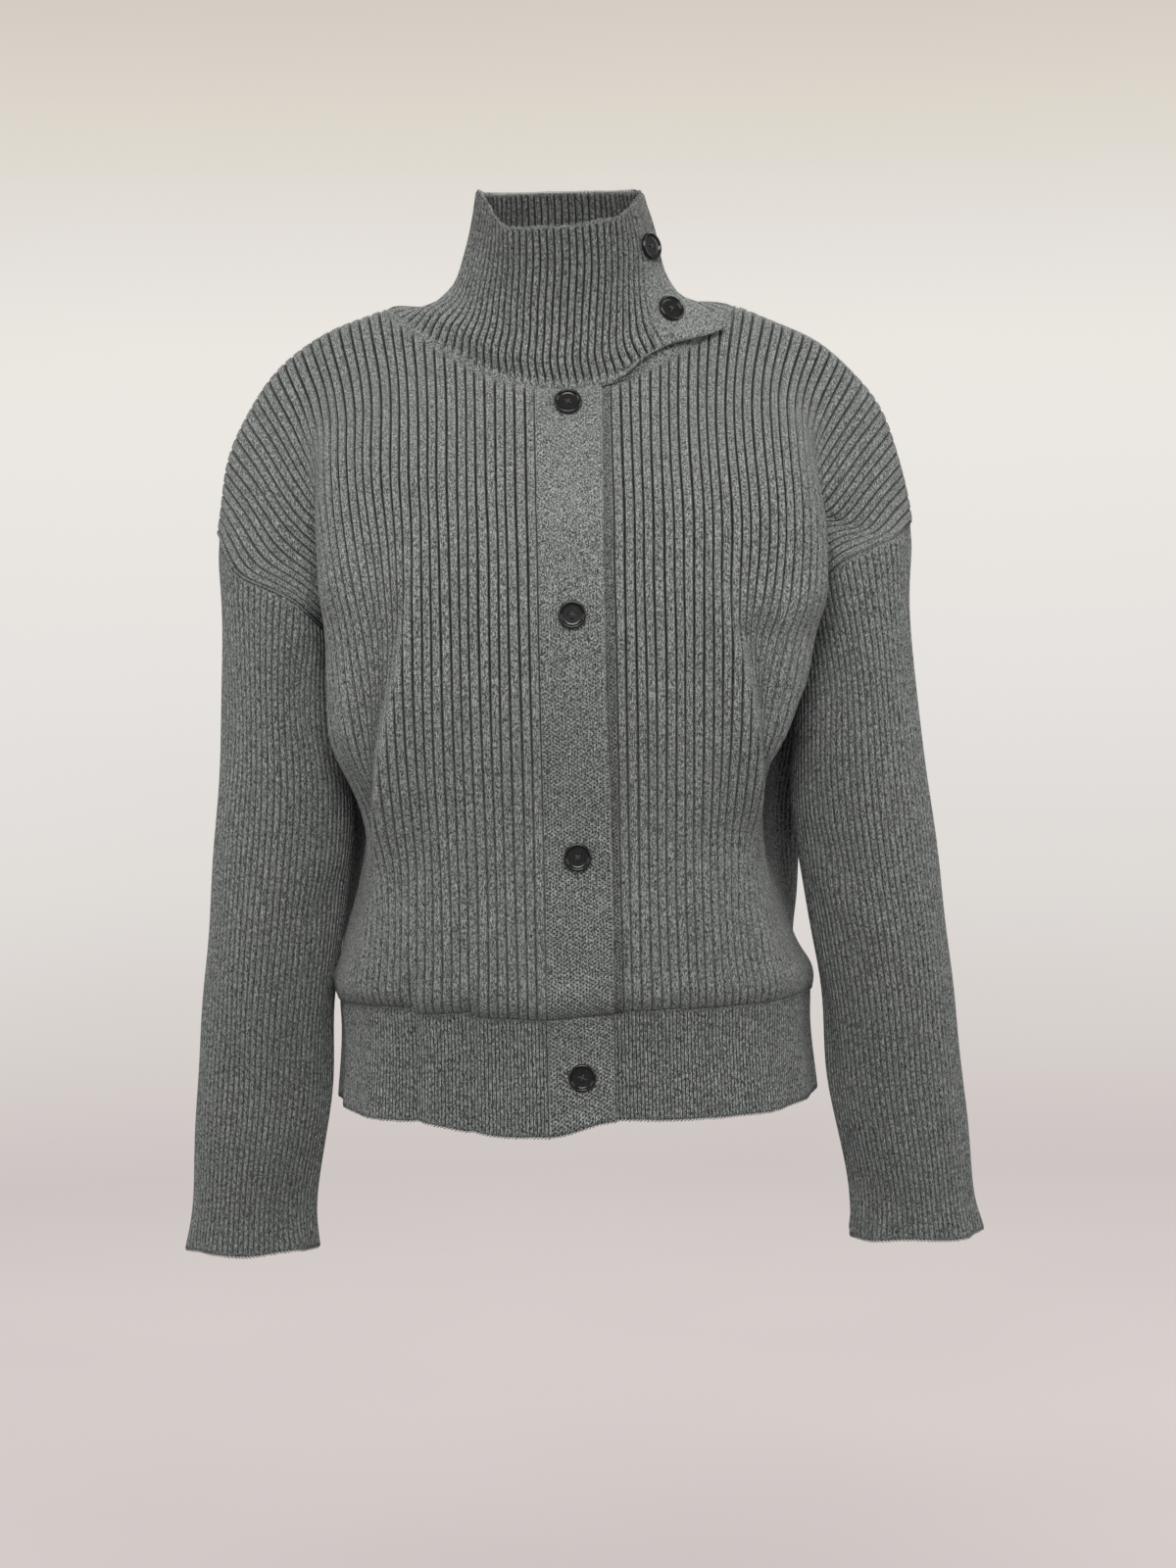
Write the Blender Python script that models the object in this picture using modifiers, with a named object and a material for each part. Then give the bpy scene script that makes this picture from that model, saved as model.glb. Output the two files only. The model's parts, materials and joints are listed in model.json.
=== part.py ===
"""Polo neck cardigan, worn form with nobody inside it, at real size.

Metres, +Z up, the front faces -Y. The origin is the middle of the neck base, level with the
shoulders, where a wearer holds the garment up.

The front and back are cut as one ribbed field that runs from the front hem, over the shoulder,
to the back hem. A place on the field is (across, along): across is 0 at the middle and 1 at the
side seam or armhole, along is 0 at the front hem, 1 at the shoulder and 2 at the back hem.
"""

import math

import bmesh
import bpy
import numpy as np
from mathutils import Vector
from mathutils.bvhtree import BVHTree

CLOTH = 0.0026  # thickness of one layer of the rib knit
SEAM = 0.0004  # clear space left between two pieces at a seam ...
SHAPED_SEAM = 0.0010  # ... and at one where the cloth turns a corner
LAYER = CLOTH + 0.0009  # from the middle of one layer to the middle of the next one over it

RIB_PITCH = 0.00725  # one rib of the body, measured on the chest
RIBS_ACROSS = 44  # ribs from the middle of the front to the armhole
BAND_LEFT = -0.019  # the button band reaches from here ...
BAND_RIGHT = 0.028  # ... to here, measured from the middle of the front
BAND_MIDDLE = (BAND_LEFT + BAND_RIGHT) / 2
STEP_WIDTH = 0.040  # over this width the left front rises to the level of the band
UNDERLAP_STEP = 0.002  # the hidden band's edge lies this far inside the button band's edge

NECK_ACROSS = 0.385  # where the neckline meets the shoulder, as a share of the field's width
NECK_DROP_FRONT = 0.142  # how far the front neckline is scooped, as a share of the front's length
NECK_DROP_BACK = 0.135
NECK_ROUNDNESS = 0.5  # 0.5 makes each quarter of the neckline part of an ellipse
LEFT_NECK_ROUNDNESS = 0.38  # the left front, below the flap, is scooped fuller

UNDERARM = 0.46  # the armhole starts here, measured along the front
UNDERARM_REACH = 0.055  # the sleeve stands clear of the body up to this far above the underarm
HEM_DEPTH = 0.075
HEM_DRAW = 0.0035  # how far the hem band is drawn in below the body
HEM_SAG = 0.010  # how much lower the hem hangs below the button band and right beside it
SAG_START = 0.05  # the sag grows over this width from the band's free edge ...
SAG_FULL_TO = 0.04  # ... is whole this far to the right of the middle ...
SAG_END = 0.09  # ... and is gone after this much more
HEM_SIDE_RISE = 0.008  # the hem's edge is drawn up by this much at the side seams

FLAP_END = 65  # degrees from the middle of the front to the collar's buttoned end
FLAP_TAUT = 0.14  # how far the free flap is pulled straight from its rim to its edge
FLAP_RISE = 0.004  # the free flap's lower edge clears the neckline by this much ...
FLAP_OVERHANG = 0.0075  # ... and its corner hangs this far over it
FLAP_DROOP = 0.005  # the flap's free end hangs this much lower at the rim
FLAP_CREST = 0.0045  # between the middle and its end the flap's rim stands this much higher

BUTTON_RADIUS = 0.0099
BUTTON_THICKNESS = 0.0040
BUTTON_HOLE_RADIUS = 0.0010
BUTTON_HOLE_SPACING = 0.0034
BUTTON_HEIGHTS = (-0.060, -0.207, -0.377)  # of the three buttons on the long band
HEM_BUTTON_HEIGHT = -0.531
COLLAR_BUTTONS = ((53, 0.69), (52, 0.19))  # (degrees round the neck, share of its height)

KNIT_GREY = (0.15, 0.165, 0.16, 1.0)
HORN_BLACK = (0.012, 0.012, 0.013, 1.0)

# One row for each section of the wearer's left half. Each section is a curve through four
# places: the middle, the fold edge beside the armpit, the valley behind that fold, and the side
# seam or armhole edge. The right half's places lie right_out further out and right_up higher.
SECTION_COLUMNS = (
    "along", "mid_y", "mid_z", "fold_x", "fold_y", "fold_z",
    "valley_x", "valley_y", "valley_z", "edge_x", "edge_y", "edge_z", "right_out", "right_up",
)
SECTIONS = {
    "front_hem":   (0.00, -.122, -.489, .150, -.080, -.489, .168, -.040, -.490, .172, .004, -.491, 0, 0),
    "front_hip":   (0.07, -.127, -.452, .143, -.086, -.452, .157, -.044, -.452, .159, .004, -.452, .007, 0),
    "front_waist": (0.24, -.119, -.365, .128, -.080, -.364, .137, -.040, -.363, .138, .004, -.363, .010, 0),
    "front_rib":   (0.36, -.125, -.302, .157, -.082, -.300, .148, -.042, -.300, .147, .002, -.302, .007, 0),
    "front_bust":  (0.46, -.130, -.246, .179, -.078, -.240, .160, -.036, -.246, .155, .000, -.250, .001, 0),
    "front_chest": (0.60, -.124, -.178, .182, -.070, -.168, .174, -.044, -.197, .200, -.060, -.205, 0, 0),
    "front_yoke":  (0.76, -.100, -.108, .178, -.058, -.097, .199, -.055, -.132, .236, -.046, -.174, 0, .002),
    "front_neck":  (0.88, -.060, -.036, .175, -.030, -.047, .214, -.029, -.095, .247, -.024, -.158, 0, .003),
    "shoulder":    (1.00, -.002, .022, .172, .000, -.010, .228, .000, -.063, .2515, .000, -.150, 0, .004),
    "back_neck":   (1.12, .062, .005, .175, .028, -.046, .214, .028, -.095, .247, .023, -.158, 0, .003),
    "back_yoke":   (1.24, .092, -.066, .178, .052, -.093, .202, .050, -.132, .236, .044, -.174, 0, .002),
    "back_blade":  (1.40, .109, -.158, .179, .064, -.168, .182, .048, -.197, .200, .058, -.205, 0, 0),
    "back_chest":  (1.54, .110, -.246, .172, .066, -.244, .160, .034, -.247, .155, .000, -.250, .001, 0),
    "back_rib":    (1.64, .104, -.302, .167, .067, -.302, .154, .036, -.302, .147, .002, -.302, .007, 0),
    "back_waist":  (1.76, .100, -.363, .160, .066, -.363, .1465, .037, -.363, .138, .004, -.363, .010, 0),
    "back_hip":    (1.93, .115, -.452, .160, .075, -.452, .162, .042, -.452, .159, .004, -.452, .007, 0),
    "back_hem":    (2.00, .117, -.491, .153, .078, -.491, .170, .044, -.491, .172, .004, -.491, 0, 0),
}
LEFT_OWN = {  # where the left half has places of its own
    "front_waist": {"fold_x": .131},
    "front_bust":  {"fold_x": .172},
    "front_chest": {"fold_x": .180, "valley_x": .171, "valley_y": -.047, "valley_z": -.158,
                    "edge_x": .197, "edge_z": -.176},
    "front_yoke":  {"fold_y": -.060, "valley_x": .184, "valley_y": -.048, "valley_z": -.122, "edge_z": -.159},
    "front_neck":  {"valley_x": .209, "valley_z": -.090, "edge_z": -.152},
    "shoulder":    {"edge_z": -.149},
    "back_neck":   {"edge_z": -.153},
    "back_yoke":   {"edge_z": -.162},
    "back_blade":  {"valley_z": -.172, "edge_z": -.190},
    "back_rib":    {"fold_x": .172},
    "back_waist":  {"fold_x": .167},
    "back_hip":    {"fold_x": .163},
}
RIGHT_OWN = {  # and the right half
    "front_waist": {"fold_x": .134},
    "front_rib":   {"fold_x": .163},
    "front_bust":  {"fold_x": .168},
    "front_chest": {"fold_x": .172, "valley_x": .163, "valley_z": -.186, "edge_x": .194, "edge_z": -.197},
    "front_yoke":  {"fold_x": .173, "fold_y": -.062, "valley_x": .180, "valley_y": -.048, "valley_z": -.126,
                    "edge_z": -.176},
    "front_neck":  {"fold_x": .172, "valley_x": .209, "valley_z": -.092},
}

# Soft troughs of the front, in the body's own sizes: where each starts and ends as
# (across, along), its half width and its depth. The sides differ, as cloth does.
FRONT_FOLDS = {
    "waist_left": ((0.66, 0.43), (0.60, 0.22), 0.060, 0.010),
    "waist_right": ((-0.62, 0.45), (-0.57, 0.20), 0.060, 0.012),
}

# One row for each ring of the wearer's left sleeve, from under the armhole to the cuff. The
# outer side of a ring is higher than its middle by outer_rise. The right sleeve hangs right_in
# closer to the body.
RING_COLUMNS = (
    "middle_x", "middle_y", "middle_z", "half_width", "half_depth", "outer_rise", "right_in",
)
SLEEVE_RINGS = {
    "upper_arm":     (.2070, -.001, -.262, .0430, .0620, .026, .000),
    "above_elbow":   (.2095, -.002, -.325, .0480, .0600, .012, .003),
    "elbow":         (.2160, -.004, -.390, .0495, .0575, .004, .004),
    "below_elbow":   (.2240, -.006, -.450, .0480, .0545, .000, .005),
    "forearm":       (.2300, -.008, -.503, .0475, .0510, .000, .005),
    "lower_forearm": (.2335, -.010, -.552, .0485, .0465, .000, .005),
    "wrist":         (.2400, -.012, -.605, .0460, .0415, .000, .005),
    "above_cuff":    (.2445, -.012, -.645, .0450, .0380, .000, .005),
    "cuff":          (.2455, -.012, -.668, .0480, .0405, .000, .005),
}

# One row for each ring of the collar above its seam. height is the share of the collar's depth.
COLLAR_COLUMNS = (
    "height", "middle_x", "half_width", "front_y", "back_y", "front_z", "side_z", "back_z",
)
COLLAR_RINGS = {
    "on_shoulder": (0.14, -.002, .1010, -.0680, .0670, -.032, .0125, .015),
    "flare":       (0.30, -.001, .0845, -.0675, .0645, -.014, .0190, .032),
    "neck":        (0.44, .000, .0745, -.0670, .0630, .002, .0310, .046),
    "throat":      (0.56, .001, .0700, -.0660, .0620, .016, .0440, .057),
    "upper":       (0.72, .0025, .0660, -.0640, .0605, .035, .0620, .073),
    "rim":         (1.00, .002, .0590, -.0590, .0570, .0650, .0950, .098),
}
BASE_SPREAD = 80  # degrees over which a ring falls from its side to its front, at the base ...
RIM_SPREAD = 45  # ... and at the rim


# ---------------------------------------------------------------- curves through a table

def spline(knots, values, at):
    """Smooth curve through the values, straight at both ends (a natural cubic spline)."""
    knots, values, at = (np.asarray(a, float) for a in (knots, values, at))
    gap = np.diff(knots)
    count = len(knots)
    system = np.eye(count)
    right = np.zeros_like(values)
    slope = np.diff(values, axis=0) / gap[:, None]
    for i in range(1, count - 1):
        system[i, i - 1:i + 2] = gap[i - 1], 2 * (gap[i - 1] + gap[i]), gap[i]
        right[i] = 6 * (slope[i] - slope[i - 1])
    bend = np.linalg.solve(system, right)
    i = np.clip(np.searchsorted(knots, at, side="right") - 1, 0, count - 2)
    h = gap[i][:, None]
    b = (at[:, None] - knots[i][:, None]) / h
    a = 1 - b
    return a * values[i] + b * values[i + 1] + ((a**3 - a) * bend[i] + (b**3 - b) * bend[i + 1]) * h * h / 6


def held_spline(knots, values, at):
    """Curve through the values that never swings past them (a monotone cubic)."""
    knots, values, at = (np.asarray(a, float) for a in (knots, values, at))
    gap = np.diff(knots)[:, None]
    slope = np.diff(values, axis=0) / gap
    lean = np.zeros_like(values)
    lean[0], lean[-1] = slope[0], slope[-1]
    same_way = slope[:-1] * slope[1:] > 0
    with np.errstate(divide="ignore", invalid="ignore"):
        mean = 2 * slope[:-1] * slope[1:] / (slope[:-1] + slope[1:])
    lean[1:-1] = np.where(same_way, mean, 0)
    i = np.clip(np.searchsorted(knots, at, side="right") - 1, 0, len(knots) - 2)
    h = gap[i]
    b = (at[:, None] - knots[i][:, None]) / h
    return (
        values[i] * (1 + 2 * b) * (1 - b) ** 2 + lean[i] * h * b * (1 - b) ** 2
        + values[i + 1] * b * b * (3 - 2 * b) + lean[i + 1] * h * b * b * (b - 1)
    )


def smooth(x):
    """0 below 0, 1 above 1, and a soft step between."""
    x = np.clip(x, 0, 1)
    return x * x * (3 - 2 * x)


def unit(vectors):
    return vectors / np.maximum(np.linalg.norm(vectors, axis=-1, keepdims=True), 1e-12)


def lengths(points):
    """Distance walked along a polyline at each of its points."""
    steps = np.linalg.norm(np.diff(points, axis=0), axis=1)
    return np.concatenate([[0], np.cumsum(steps)])


def along_line(points, shares):
    """Points at these shares of a polyline's length."""
    walked = lengths(points)
    at = np.asarray(shares) * walked[-1]
    return np.stack([np.interp(at, walked, points[:, k]) for k in range(3)], axis=1)


# ---------------------------------------------------------------- the ribbed field

LATTICE_ACROSS = 161
LATTICE_ALONG = 241


def half_rows(own):
    """The section rows of one half, with the places of its own."""
    rows = {name: dict(zip(SECTION_COLUMNS, row)) for name, row in SECTIONS.items()}
    for name, places in own.items():
        rows[name].update(places)
    return np.array([list(row.values()) for row in rows.values()])


def section(right, mid, left, shares):
    """Points of one section at these shares across, from -1 to 1. Ribs keep their pitch beside
    the middle and crowd together towards the side."""
    whole = np.concatenate([right[::-1], [mid], left])
    knots = lengths(whole)
    dense = spline(knots, whole, np.linspace(0, knots[-1], 321))
    walked = lengths(dense)
    middle = np.interp(0, dense[:, 0], walked)
    share = np.abs(shares)
    reach = np.where(shares < 0, middle, walked[-1] - middle)
    crowd = np.clip(RIB_PITCH * RIBS_ACROSS / reach, 0.9, 1.7)
    at = middle + np.sign(shares) * reach * (crowd * share - (crowd - 1) * share**2)
    return np.stack([np.interp(at, walked, dense[:, k]) for k in range(3)], axis=1)


def half_lines(own, along, right):
    """The fold, the valley and the edge of one half at these places along, and the middle."""
    rows = half_rows(own)
    knots = rows[:, SECTION_COLUMNS.index("along")]
    edge_at = SECTION_COLUMNS.index("edge_x")
    inner = spline(knots, rows[:, 1:edge_at], along)
    edge = held_spline(knots, rows[:, edge_at:], along)
    edge_x, edge_y, edge_z, out, raised = edge.T
    edge = np.stack([edge_x + right * out, edge_y, edge_z + right * raised], axis=1)
    inner[:, 2] += right * out
    inner[:, 5] += right * out
    inner[:, 4] += right * raised
    inner[:, 7] += right * raised
    return inner[:, :2], np.stack([inner[:, 2:5], inner[:, 5:8], edge], axis=1)


def build_lattice():
    """The field sampled finely, as points[along, across]."""
    along = np.linspace(0, 2, LATTICE_ALONG)
    middle, left = half_lines(LEFT_OWN, along, 0)
    right = half_lines(RIGHT_OWN, along, 1)[1] * (-1, 1, 1)
    shares = np.linspace(-1, 1, LATTICE_ACROSS)
    return np.array([section(r, (0, *m), l, shares) for r, m, l in zip(right, middle, left)])


LATTICE = build_lattice()


def catmull_rom(x):
    """Weights of the four samples round a place that is x of the way between the inner two."""
    return np.stack([
        -0.5 * x + x**2 - 0.5 * x**3, 1 - 2.5 * x**2 + 1.5 * x**3,
        0.5 * x + 2 * x**2 - 1.5 * x**3, -0.5 * x**2 + 0.5 * x**3,
    ])


def field(across, along):
    """Points of the smooth field, read from the lattice."""
    across, along = np.broadcast_arrays(np.asarray(across, float), np.asarray(along, float))
    column = np.clip((across + 1) / 2, 0, 1) * (LATTICE_ACROSS - 1)
    row = np.clip(along / 2, 0, 1) * (LATTICE_ALONG - 1)
    column0 = np.minimum(column.astype(int), LATTICE_ACROSS - 2)
    row0 = np.minimum(row.astype(int), LATTICE_ALONG - 2)
    column_weights, row_weights = catmull_rom(column - column0), catmull_rom(row - row0)
    found = np.zeros(across.shape + (3,))
    for i in range(4):
        for j in range(4):
            r = np.clip(row0 + i - 1, 0, LATTICE_ALONG - 1)
            c = np.clip(column0 + j - 1, 0, LATTICE_ACROSS - 1)
            found += (row_weights[i] * column_weights[j])[..., None] * LATTICE[r, c]
    return found


def outward(across, along):
    """Directions that point out of the field."""
    step = 0.004
    a0, a1 = np.clip(np.asarray(across) - step, -1, 1), np.clip(np.asarray(across) + step, -1, 1)
    l0, l1 = np.clip(np.asarray(along) - step, 0, 2), np.clip(np.asarray(along) + step, 0, 2)
    sideways = field(a1, along) - field(a0, along)
    lengthways = field(across, l1) - field(across, l0)
    return unit(np.cross(sideways, lengthways))


def fold_depth(across, along):
    """How far the troughs in FRONT_FOLDS push the cloth in."""
    depth = np.zeros(np.broadcast(across, along).shape)
    for start, end, half_width, deep in FRONT_FOLDS.values():
        run = np.array(end) - start
        share = ((across - start[0]) * run[0] + (along - start[1]) * run[1]) / (run @ run)
        off_x = across - start[0] - share * run[0]
        off_y = along - start[1] - share * run[1]
        fade = np.sin(np.pi * np.clip(share, 0, 1)) ** 2
        depth += deep * fade * np.exp(-(off_x**2 + off_y**2) / half_width**2)
    return depth


def cloth(across, along, lift=0.0):
    """Points of the draped body, lifted outwards by lift."""
    out = outward(across, along)
    push = np.asarray(lift) - fold_depth(across, along)
    return field(across, along) + out * push[..., None]


def neck_scoop(across, roundness):
    """Share of the neckline's full drop at a place across."""
    return np.clip(1 - (across / NECK_ACROSS) ** 2, 0, 1) ** roundness


def neck_front(across):
    """Where the front neckline lies along the field."""
    roundness = np.where(across > 0, LEFT_NECK_ROUNDNESS, NECK_ROUNDNESS)
    return 1 - NECK_DROP_FRONT * neck_scoop(across, roundness)


def neck_back(across):
    return 1 + NECK_DROP_BACK * neck_scoop(across, NECK_ROUNDNESS)


FIELD_HALF_WIDTH = RIB_PITCH * RIBS_ACROSS
ALONG_LENGTH = 0.53  # metres of cloth for each 1 of along
ACROSS_GAP = SHAPED_SEAM / 2 / FIELD_HALF_WIDTH
ALONG_GAP = SHAPED_SEAM / 2 / ALONG_LENGTH


def across_at(x):
    """The share across of a place x metres from the middle, near the middle."""
    return x / FIELD_HALF_WIDTH


def left_front_lift(across):
    """The left front lies one layer below the band at its edge, and rises to its level."""
    return -LAYER * (1 - smooth((across - across_at(BAND_RIGHT)) / across_at(STEP_WIDTH)))


# ---------------------------------------------------------------- shared stations
# Pieces that meet at a seam share their stations along it, so that their facets agree. Each
# piece also has a station close beside each seam, which keeps its edge square to the cloth.

EDGE = 0.005  # how close that station lies, as a share ...
EDGE_DEPTH = 0.0035  # ... or in metres
ARMHOLE_STEPS = 8
SIDE_STEPS = 7
NECK_STEPS = 5  # from the button band to the shoulder
BAND_STEPS = 3
SHOULDER_STEPS = 7

RIGHT_TURN = np.arcsin(across_at(BAND_LEFT) / NECK_ACROSS)
LEFT_TURN = np.arcsin(across_at(BAND_RIGHT) / NECK_ACROSS)
QUARTER = np.pi / 2

ALONG_STATIONS = np.concatenate([
    [0, EDGE], np.linspace(0, UNDERARM, SIDE_STEPS + 1)[1:-1],
    np.linspace(UNDERARM, 1, ARMHOLE_STEPS + 1)[:-1], [1 - EDGE, 1],
])
SIDE_STATIONS = np.append(np.linspace(NECK_ACROSS, 1, SHOULDER_STEPS + 1)[1:-1], [1 - EDGE, 1])
BAND_STATIONS = NECK_ACROSS * np.sin(np.linspace(RIGHT_TURN, LEFT_TURN, BAND_STEPS + 1))


def front_stations(turn):
    """Places across one front, from the button band's edge to the side."""
    neck = NECK_ACROSS * np.sin(np.linspace(abs(turn), QUARTER, NECK_STEPS + 1))
    return np.sign(turn) * np.concatenate([neck, SIDE_STATIONS])


def clear_edges(across):
    """Move the first and last place of a piece in by half the clear space at a seam."""
    inset = np.zeros(len(across))
    inset[:2] = ACROSS_GAP
    inset[-2:] = -ACROSS_GAP
    return across + inset * np.sign(across[-1] - across[0])


# ---------------------------------------------------------------- making solids

def fresh_collection(name):
    made = bpy.data.collections.new(name)
    bpy.context.scene.collection.children.link(made)
    return made


def material(name, colour, roughness):
    made = bpy.data.materials.new(name)
    made.use_nodes = True
    shader = made.node_tree.nodes["Principled BSDF"]
    shader.inputs["Base Color"].default_value = colour
    shader.inputs["Roughness"].default_value = roughness
    return made


def sheet(name, points, finish, closed=False):
    """A wall of cloth through points[row, column]. closed joins its last column to its first."""
    rows, columns = points.shape[:2]
    shell = bmesh.new()
    corners = [[shell.verts.new(p) for p in row] for row in points]
    for r in range(rows - 1):
        for c in range(columns if closed else columns - 1):
            d = (c + 1) % columns
            shell.faces.new((corners[r][c], corners[r][d], corners[r + 1][d], corners[r + 1][c]))
    mesh = bpy.data.meshes.new(name)
    shell.to_mesh(mesh)
    shell.free()
    mesh.shade_smooth()
    mesh.materials.append(finish)
    piece = bpy.data.objects.new(name, mesh)
    GARMENT.objects.link(piece)
    wall = piece.modifiers.new("wall", "SOLIDIFY")
    wall.thickness = CLOTH
    wall.offset = 0
    return piece


# ---------------------------------------------------------------- body panels

def front_panel(name, turn, lift):
    """Half of the front, from the hem seam to the neckline and the shoulder."""
    across = clear_edges(front_stations(turn))
    at_neck = abs(across) < NECK_ACROSS
    top = neck_front(across) - np.where(at_neck, 0, ALONG_GAP)
    along = ALONG_GAP + (top - ALONG_GAP) * ALONG_STATIONS[:, None]
    across = np.broadcast_to(across, along.shape)
    points = cloth(across, along, lift(across))
    if turn < 0:
        points = points[:, ::-1]
    return sheet(name, points, KNIT)


def back_panel():
    neck = NECK_ACROSS * np.sin(np.linspace(-QUARTER, QUARTER, 2 * NECK_STEPS + BAND_STEPS))
    across = clear_edges(np.concatenate([-SIDE_STATIONS[::-1], neck, SIDE_STATIONS]))
    at_neck = abs(across) < NECK_ACROSS
    top = neck_back(across) + np.where(at_neck, 0, ALONG_GAP)
    along = top + (2 - ALONG_GAP - top) * (1 - ALONG_STATIONS[::-1, None])
    across = np.broadcast_to(across, along.shape)
    return sheet("back", cloth(across, along, 0 * along), KNIT)


def button_band():
    """The plain band down the middle of the front, over the left front's edge."""
    along = ALONG_GAP + (neck_front(BAND_STATIONS) - ALONG_GAP) * ALONG_STATIONS[:, None]
    across = np.broadcast_to(BAND_STATIONS, along.shape)
    return sheet("button_band", cloth(across, along, 0 * along), KNIT)


# ---------------------------------------------------------------- hem

def hem_sag(across):
    """How much lower the hem's edge hangs beside the middle, mostly on the right front."""
    x = across * FIELD_HALF_WIDTH
    starts = smooth((BAND_RIGHT - x) / SAG_START)
    ends = smooth((-x - SAG_FULL_TO) / SAG_END)
    return HEM_SAG * starts * (1 - ends)


def hem_points(across, back, lift, drops):
    """The hem band hangs from the body's lower edge, drawn in a little below it."""
    edge_along = np.where(back, 2.0, 0.0)
    start = cloth(across, edge_along, lift)
    out = unit(outward(across, edge_along) * (1, 1, 0))
    share = np.asarray(drops)[:, None, None] / HEM_DEPTH
    draw = HEM_DRAW * np.sin(np.pi * np.clip(share, 0, 1) ** 0.6)
    sag = np.where(back, 0.0, hem_sag(across))[:, None]
    rise = HEM_SIDE_RISE * smooth((np.abs(across) - 0.4) / 0.6)[:, None]
    return start - out * draw - share * (HEM_DEPTH + share * (sag - rise)) * (0, 0, 1)


def hem_drops(rows, top=0.7 * SHAPED_SEAM, bottom=HEM_DEPTH):
    return np.concatenate([[top, top + EDGE_DEPTH], np.linspace(top, bottom, rows)[1:]])


def hem_band():
    """One band from the button band, round the back, to the left front's edge."""
    left_front = front_stations(LEFT_TURN)
    right_front = front_stations(RIGHT_TURN)[::-1]
    below_neck = np.linspace(NECK_ACROSS, -NECK_ACROSS, 9)
    back = np.concatenate([SIDE_STATIONS[-2::-1], below_neck, -SIDE_STATIONS[:-1]])
    across = np.concatenate([left_front, back, right_front])
    across[:1] += ACROSS_GAP
    across[-1:] -= ACROSS_GAP
    is_back = np.zeros(len(across), bool)
    is_back[len(left_front):-len(right_front)] = True
    lift = np.where((across > 0) & ~is_back, left_front_lift(across), 0.0)
    return sheet("hem_band", hem_points(across, is_back, lift, hem_drops(4)), KNIT)


def hem_button_band():
    points = hem_points(BAND_STATIONS, np.zeros(len(BAND_STATIONS), bool), 0.0, hem_drops(4))
    return sheet("hem_button_band", points[::-1], KNIT)


def underlap_band():
    """The left front's own band, hidden below the button band from the neckline to the hem."""
    across = BAND_STATIONS.copy()
    across[0] += across_at(UNDERLAP_STEP)
    across[-1] -= ACROSS_GAP
    along = (neck_front(across) - ALONG_GAP) * np.linspace(0, 1, 15)[:, None]
    body = cloth(np.broadcast_to(across, along.shape), along, -LAYER + 0 * along)
    drops = hem_drops(4, bottom=HEM_DEPTH - 0.001)
    hem = hem_points(across, np.zeros(len(across), bool), -LAYER, drops)
    return sheet("underlap_band", np.concatenate([hem[::-1], body]), KNIT)


# ---------------------------------------------------------------- sleeves

def armhole_ring(side):
    """The sleeve's top edge, once round from the shoulder by the front. Beside the body under
    the arm it stands clear of the body by one layer."""
    down = np.linspace(1, UNDERARM, ARMHOLE_STEPS + 1)
    along = np.concatenate([down, 2 - down[-2:0:-1]])
    edge = cloth(side + 0 * along, along, 0 * along)
    inside = cloth(side * (1 - EDGE) + 0 * along, along, 0 * along)
    ring = edge + unit(edge - inside) * SHAPED_SEAM
    underarm_z = SECTIONS["front_bust"][SECTION_COLUMNS.index("edge_z")]
    near = smooth(1 - (ring[:, 2] - underarm_z) / UNDERARM_REACH)
    ring[:, 0] += side * near * (LAYER + SHAPED_SEAM)
    return ring


def oval_ring(row, side, shares):
    x, y, z, half_width, half_depth, rise, right_in = row
    if side < 0:
        x -= right_in
    turn = 2 * np.pi * np.linspace(0, 1, 241)
    oval = np.stack([
        side * (x + half_width * np.cos(turn)), y - half_depth * np.sin(turn), z + rise * np.cos(turn),
    ], axis=1)
    return along_line(oval, shares)


def sleeve(name, side, rows=13):
    armhole = armhole_ring(side)
    walked = lengths(np.concatenate([armhole, armhole[:1]]))
    shares = walked[:-1] / walked[-1]
    rings = [armhole] + [oval_ring(row, side, shares) for row in SLEEVE_RINGS.values()]
    knots = lengths(np.array([ring.mean(axis=0) for ring in rings]))
    at = knots[-1] * np.insert(np.linspace(0, 1, rows), 1, EDGE)
    flat = spline(knots, np.array(rings).reshape(len(rings), -1), at)
    points = flat.reshape(rows + 1, len(shares), 3)[::-1]
    if side < 0:
        points = points[:, ::-1]
    return sheet(name, points, KNIT, closed=True)


# ---------------------------------------------------------------- collar

def neck_places(turn, inset=0.0):
    """Field places of the neckline at angles from the middle of the front, left side first, or
    of a line that runs inset metres inside it."""
    across = NECK_ACROSS * np.sin(turn)
    along = np.where(np.cos(turn) > 0, neck_front(across), neck_back(across))
    narrower = 1 - inset / FIELD_HALF_WIDTH / NECK_ACROSS
    shallower = 1 - inset / ALONG_LENGTH / np.where(along > 1, NECK_DROP_BACK, NECK_DROP_FRONT)
    return across * narrower, 1 + (along - 1) * shallower


def neck_share(turn):
    """Share of the neckline's length at each angle, counting whole turns."""
    turns = np.linspace(0, 2 * np.pi, 241)
    walked = lengths(field(*neck_places(turns)))
    whole = np.floor(turn / (2 * np.pi))
    return whole + np.interp(turn - 2 * np.pi * whole, turns, walked / walked[-1])


def collar_ring(row, shares):
    height, middle_x, half_width, front_y, back_y, front_z, side_z, back_z = row
    angle = np.linspace(0, 360, 241)
    off_front = np.minimum(angle, 360 - angle)
    x = middle_x + half_width * np.sin(np.radians(angle))
    y = (front_y + back_y) / 2 + (front_y - back_y) / 2 * np.cos(np.radians(angle))
    spread = BASE_SPREAD + (RIM_SPREAD - BASE_SPREAD) * height
    z = (
        side_z + (front_z - side_z) * smooth((BASE_SPREAD - off_front) / spread)
        + (back_z - side_z) * smooth((off_front - 90) / 90)
    )
    return along_line(np.stack([x, y, z], axis=1), shares % 1.0)


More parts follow.
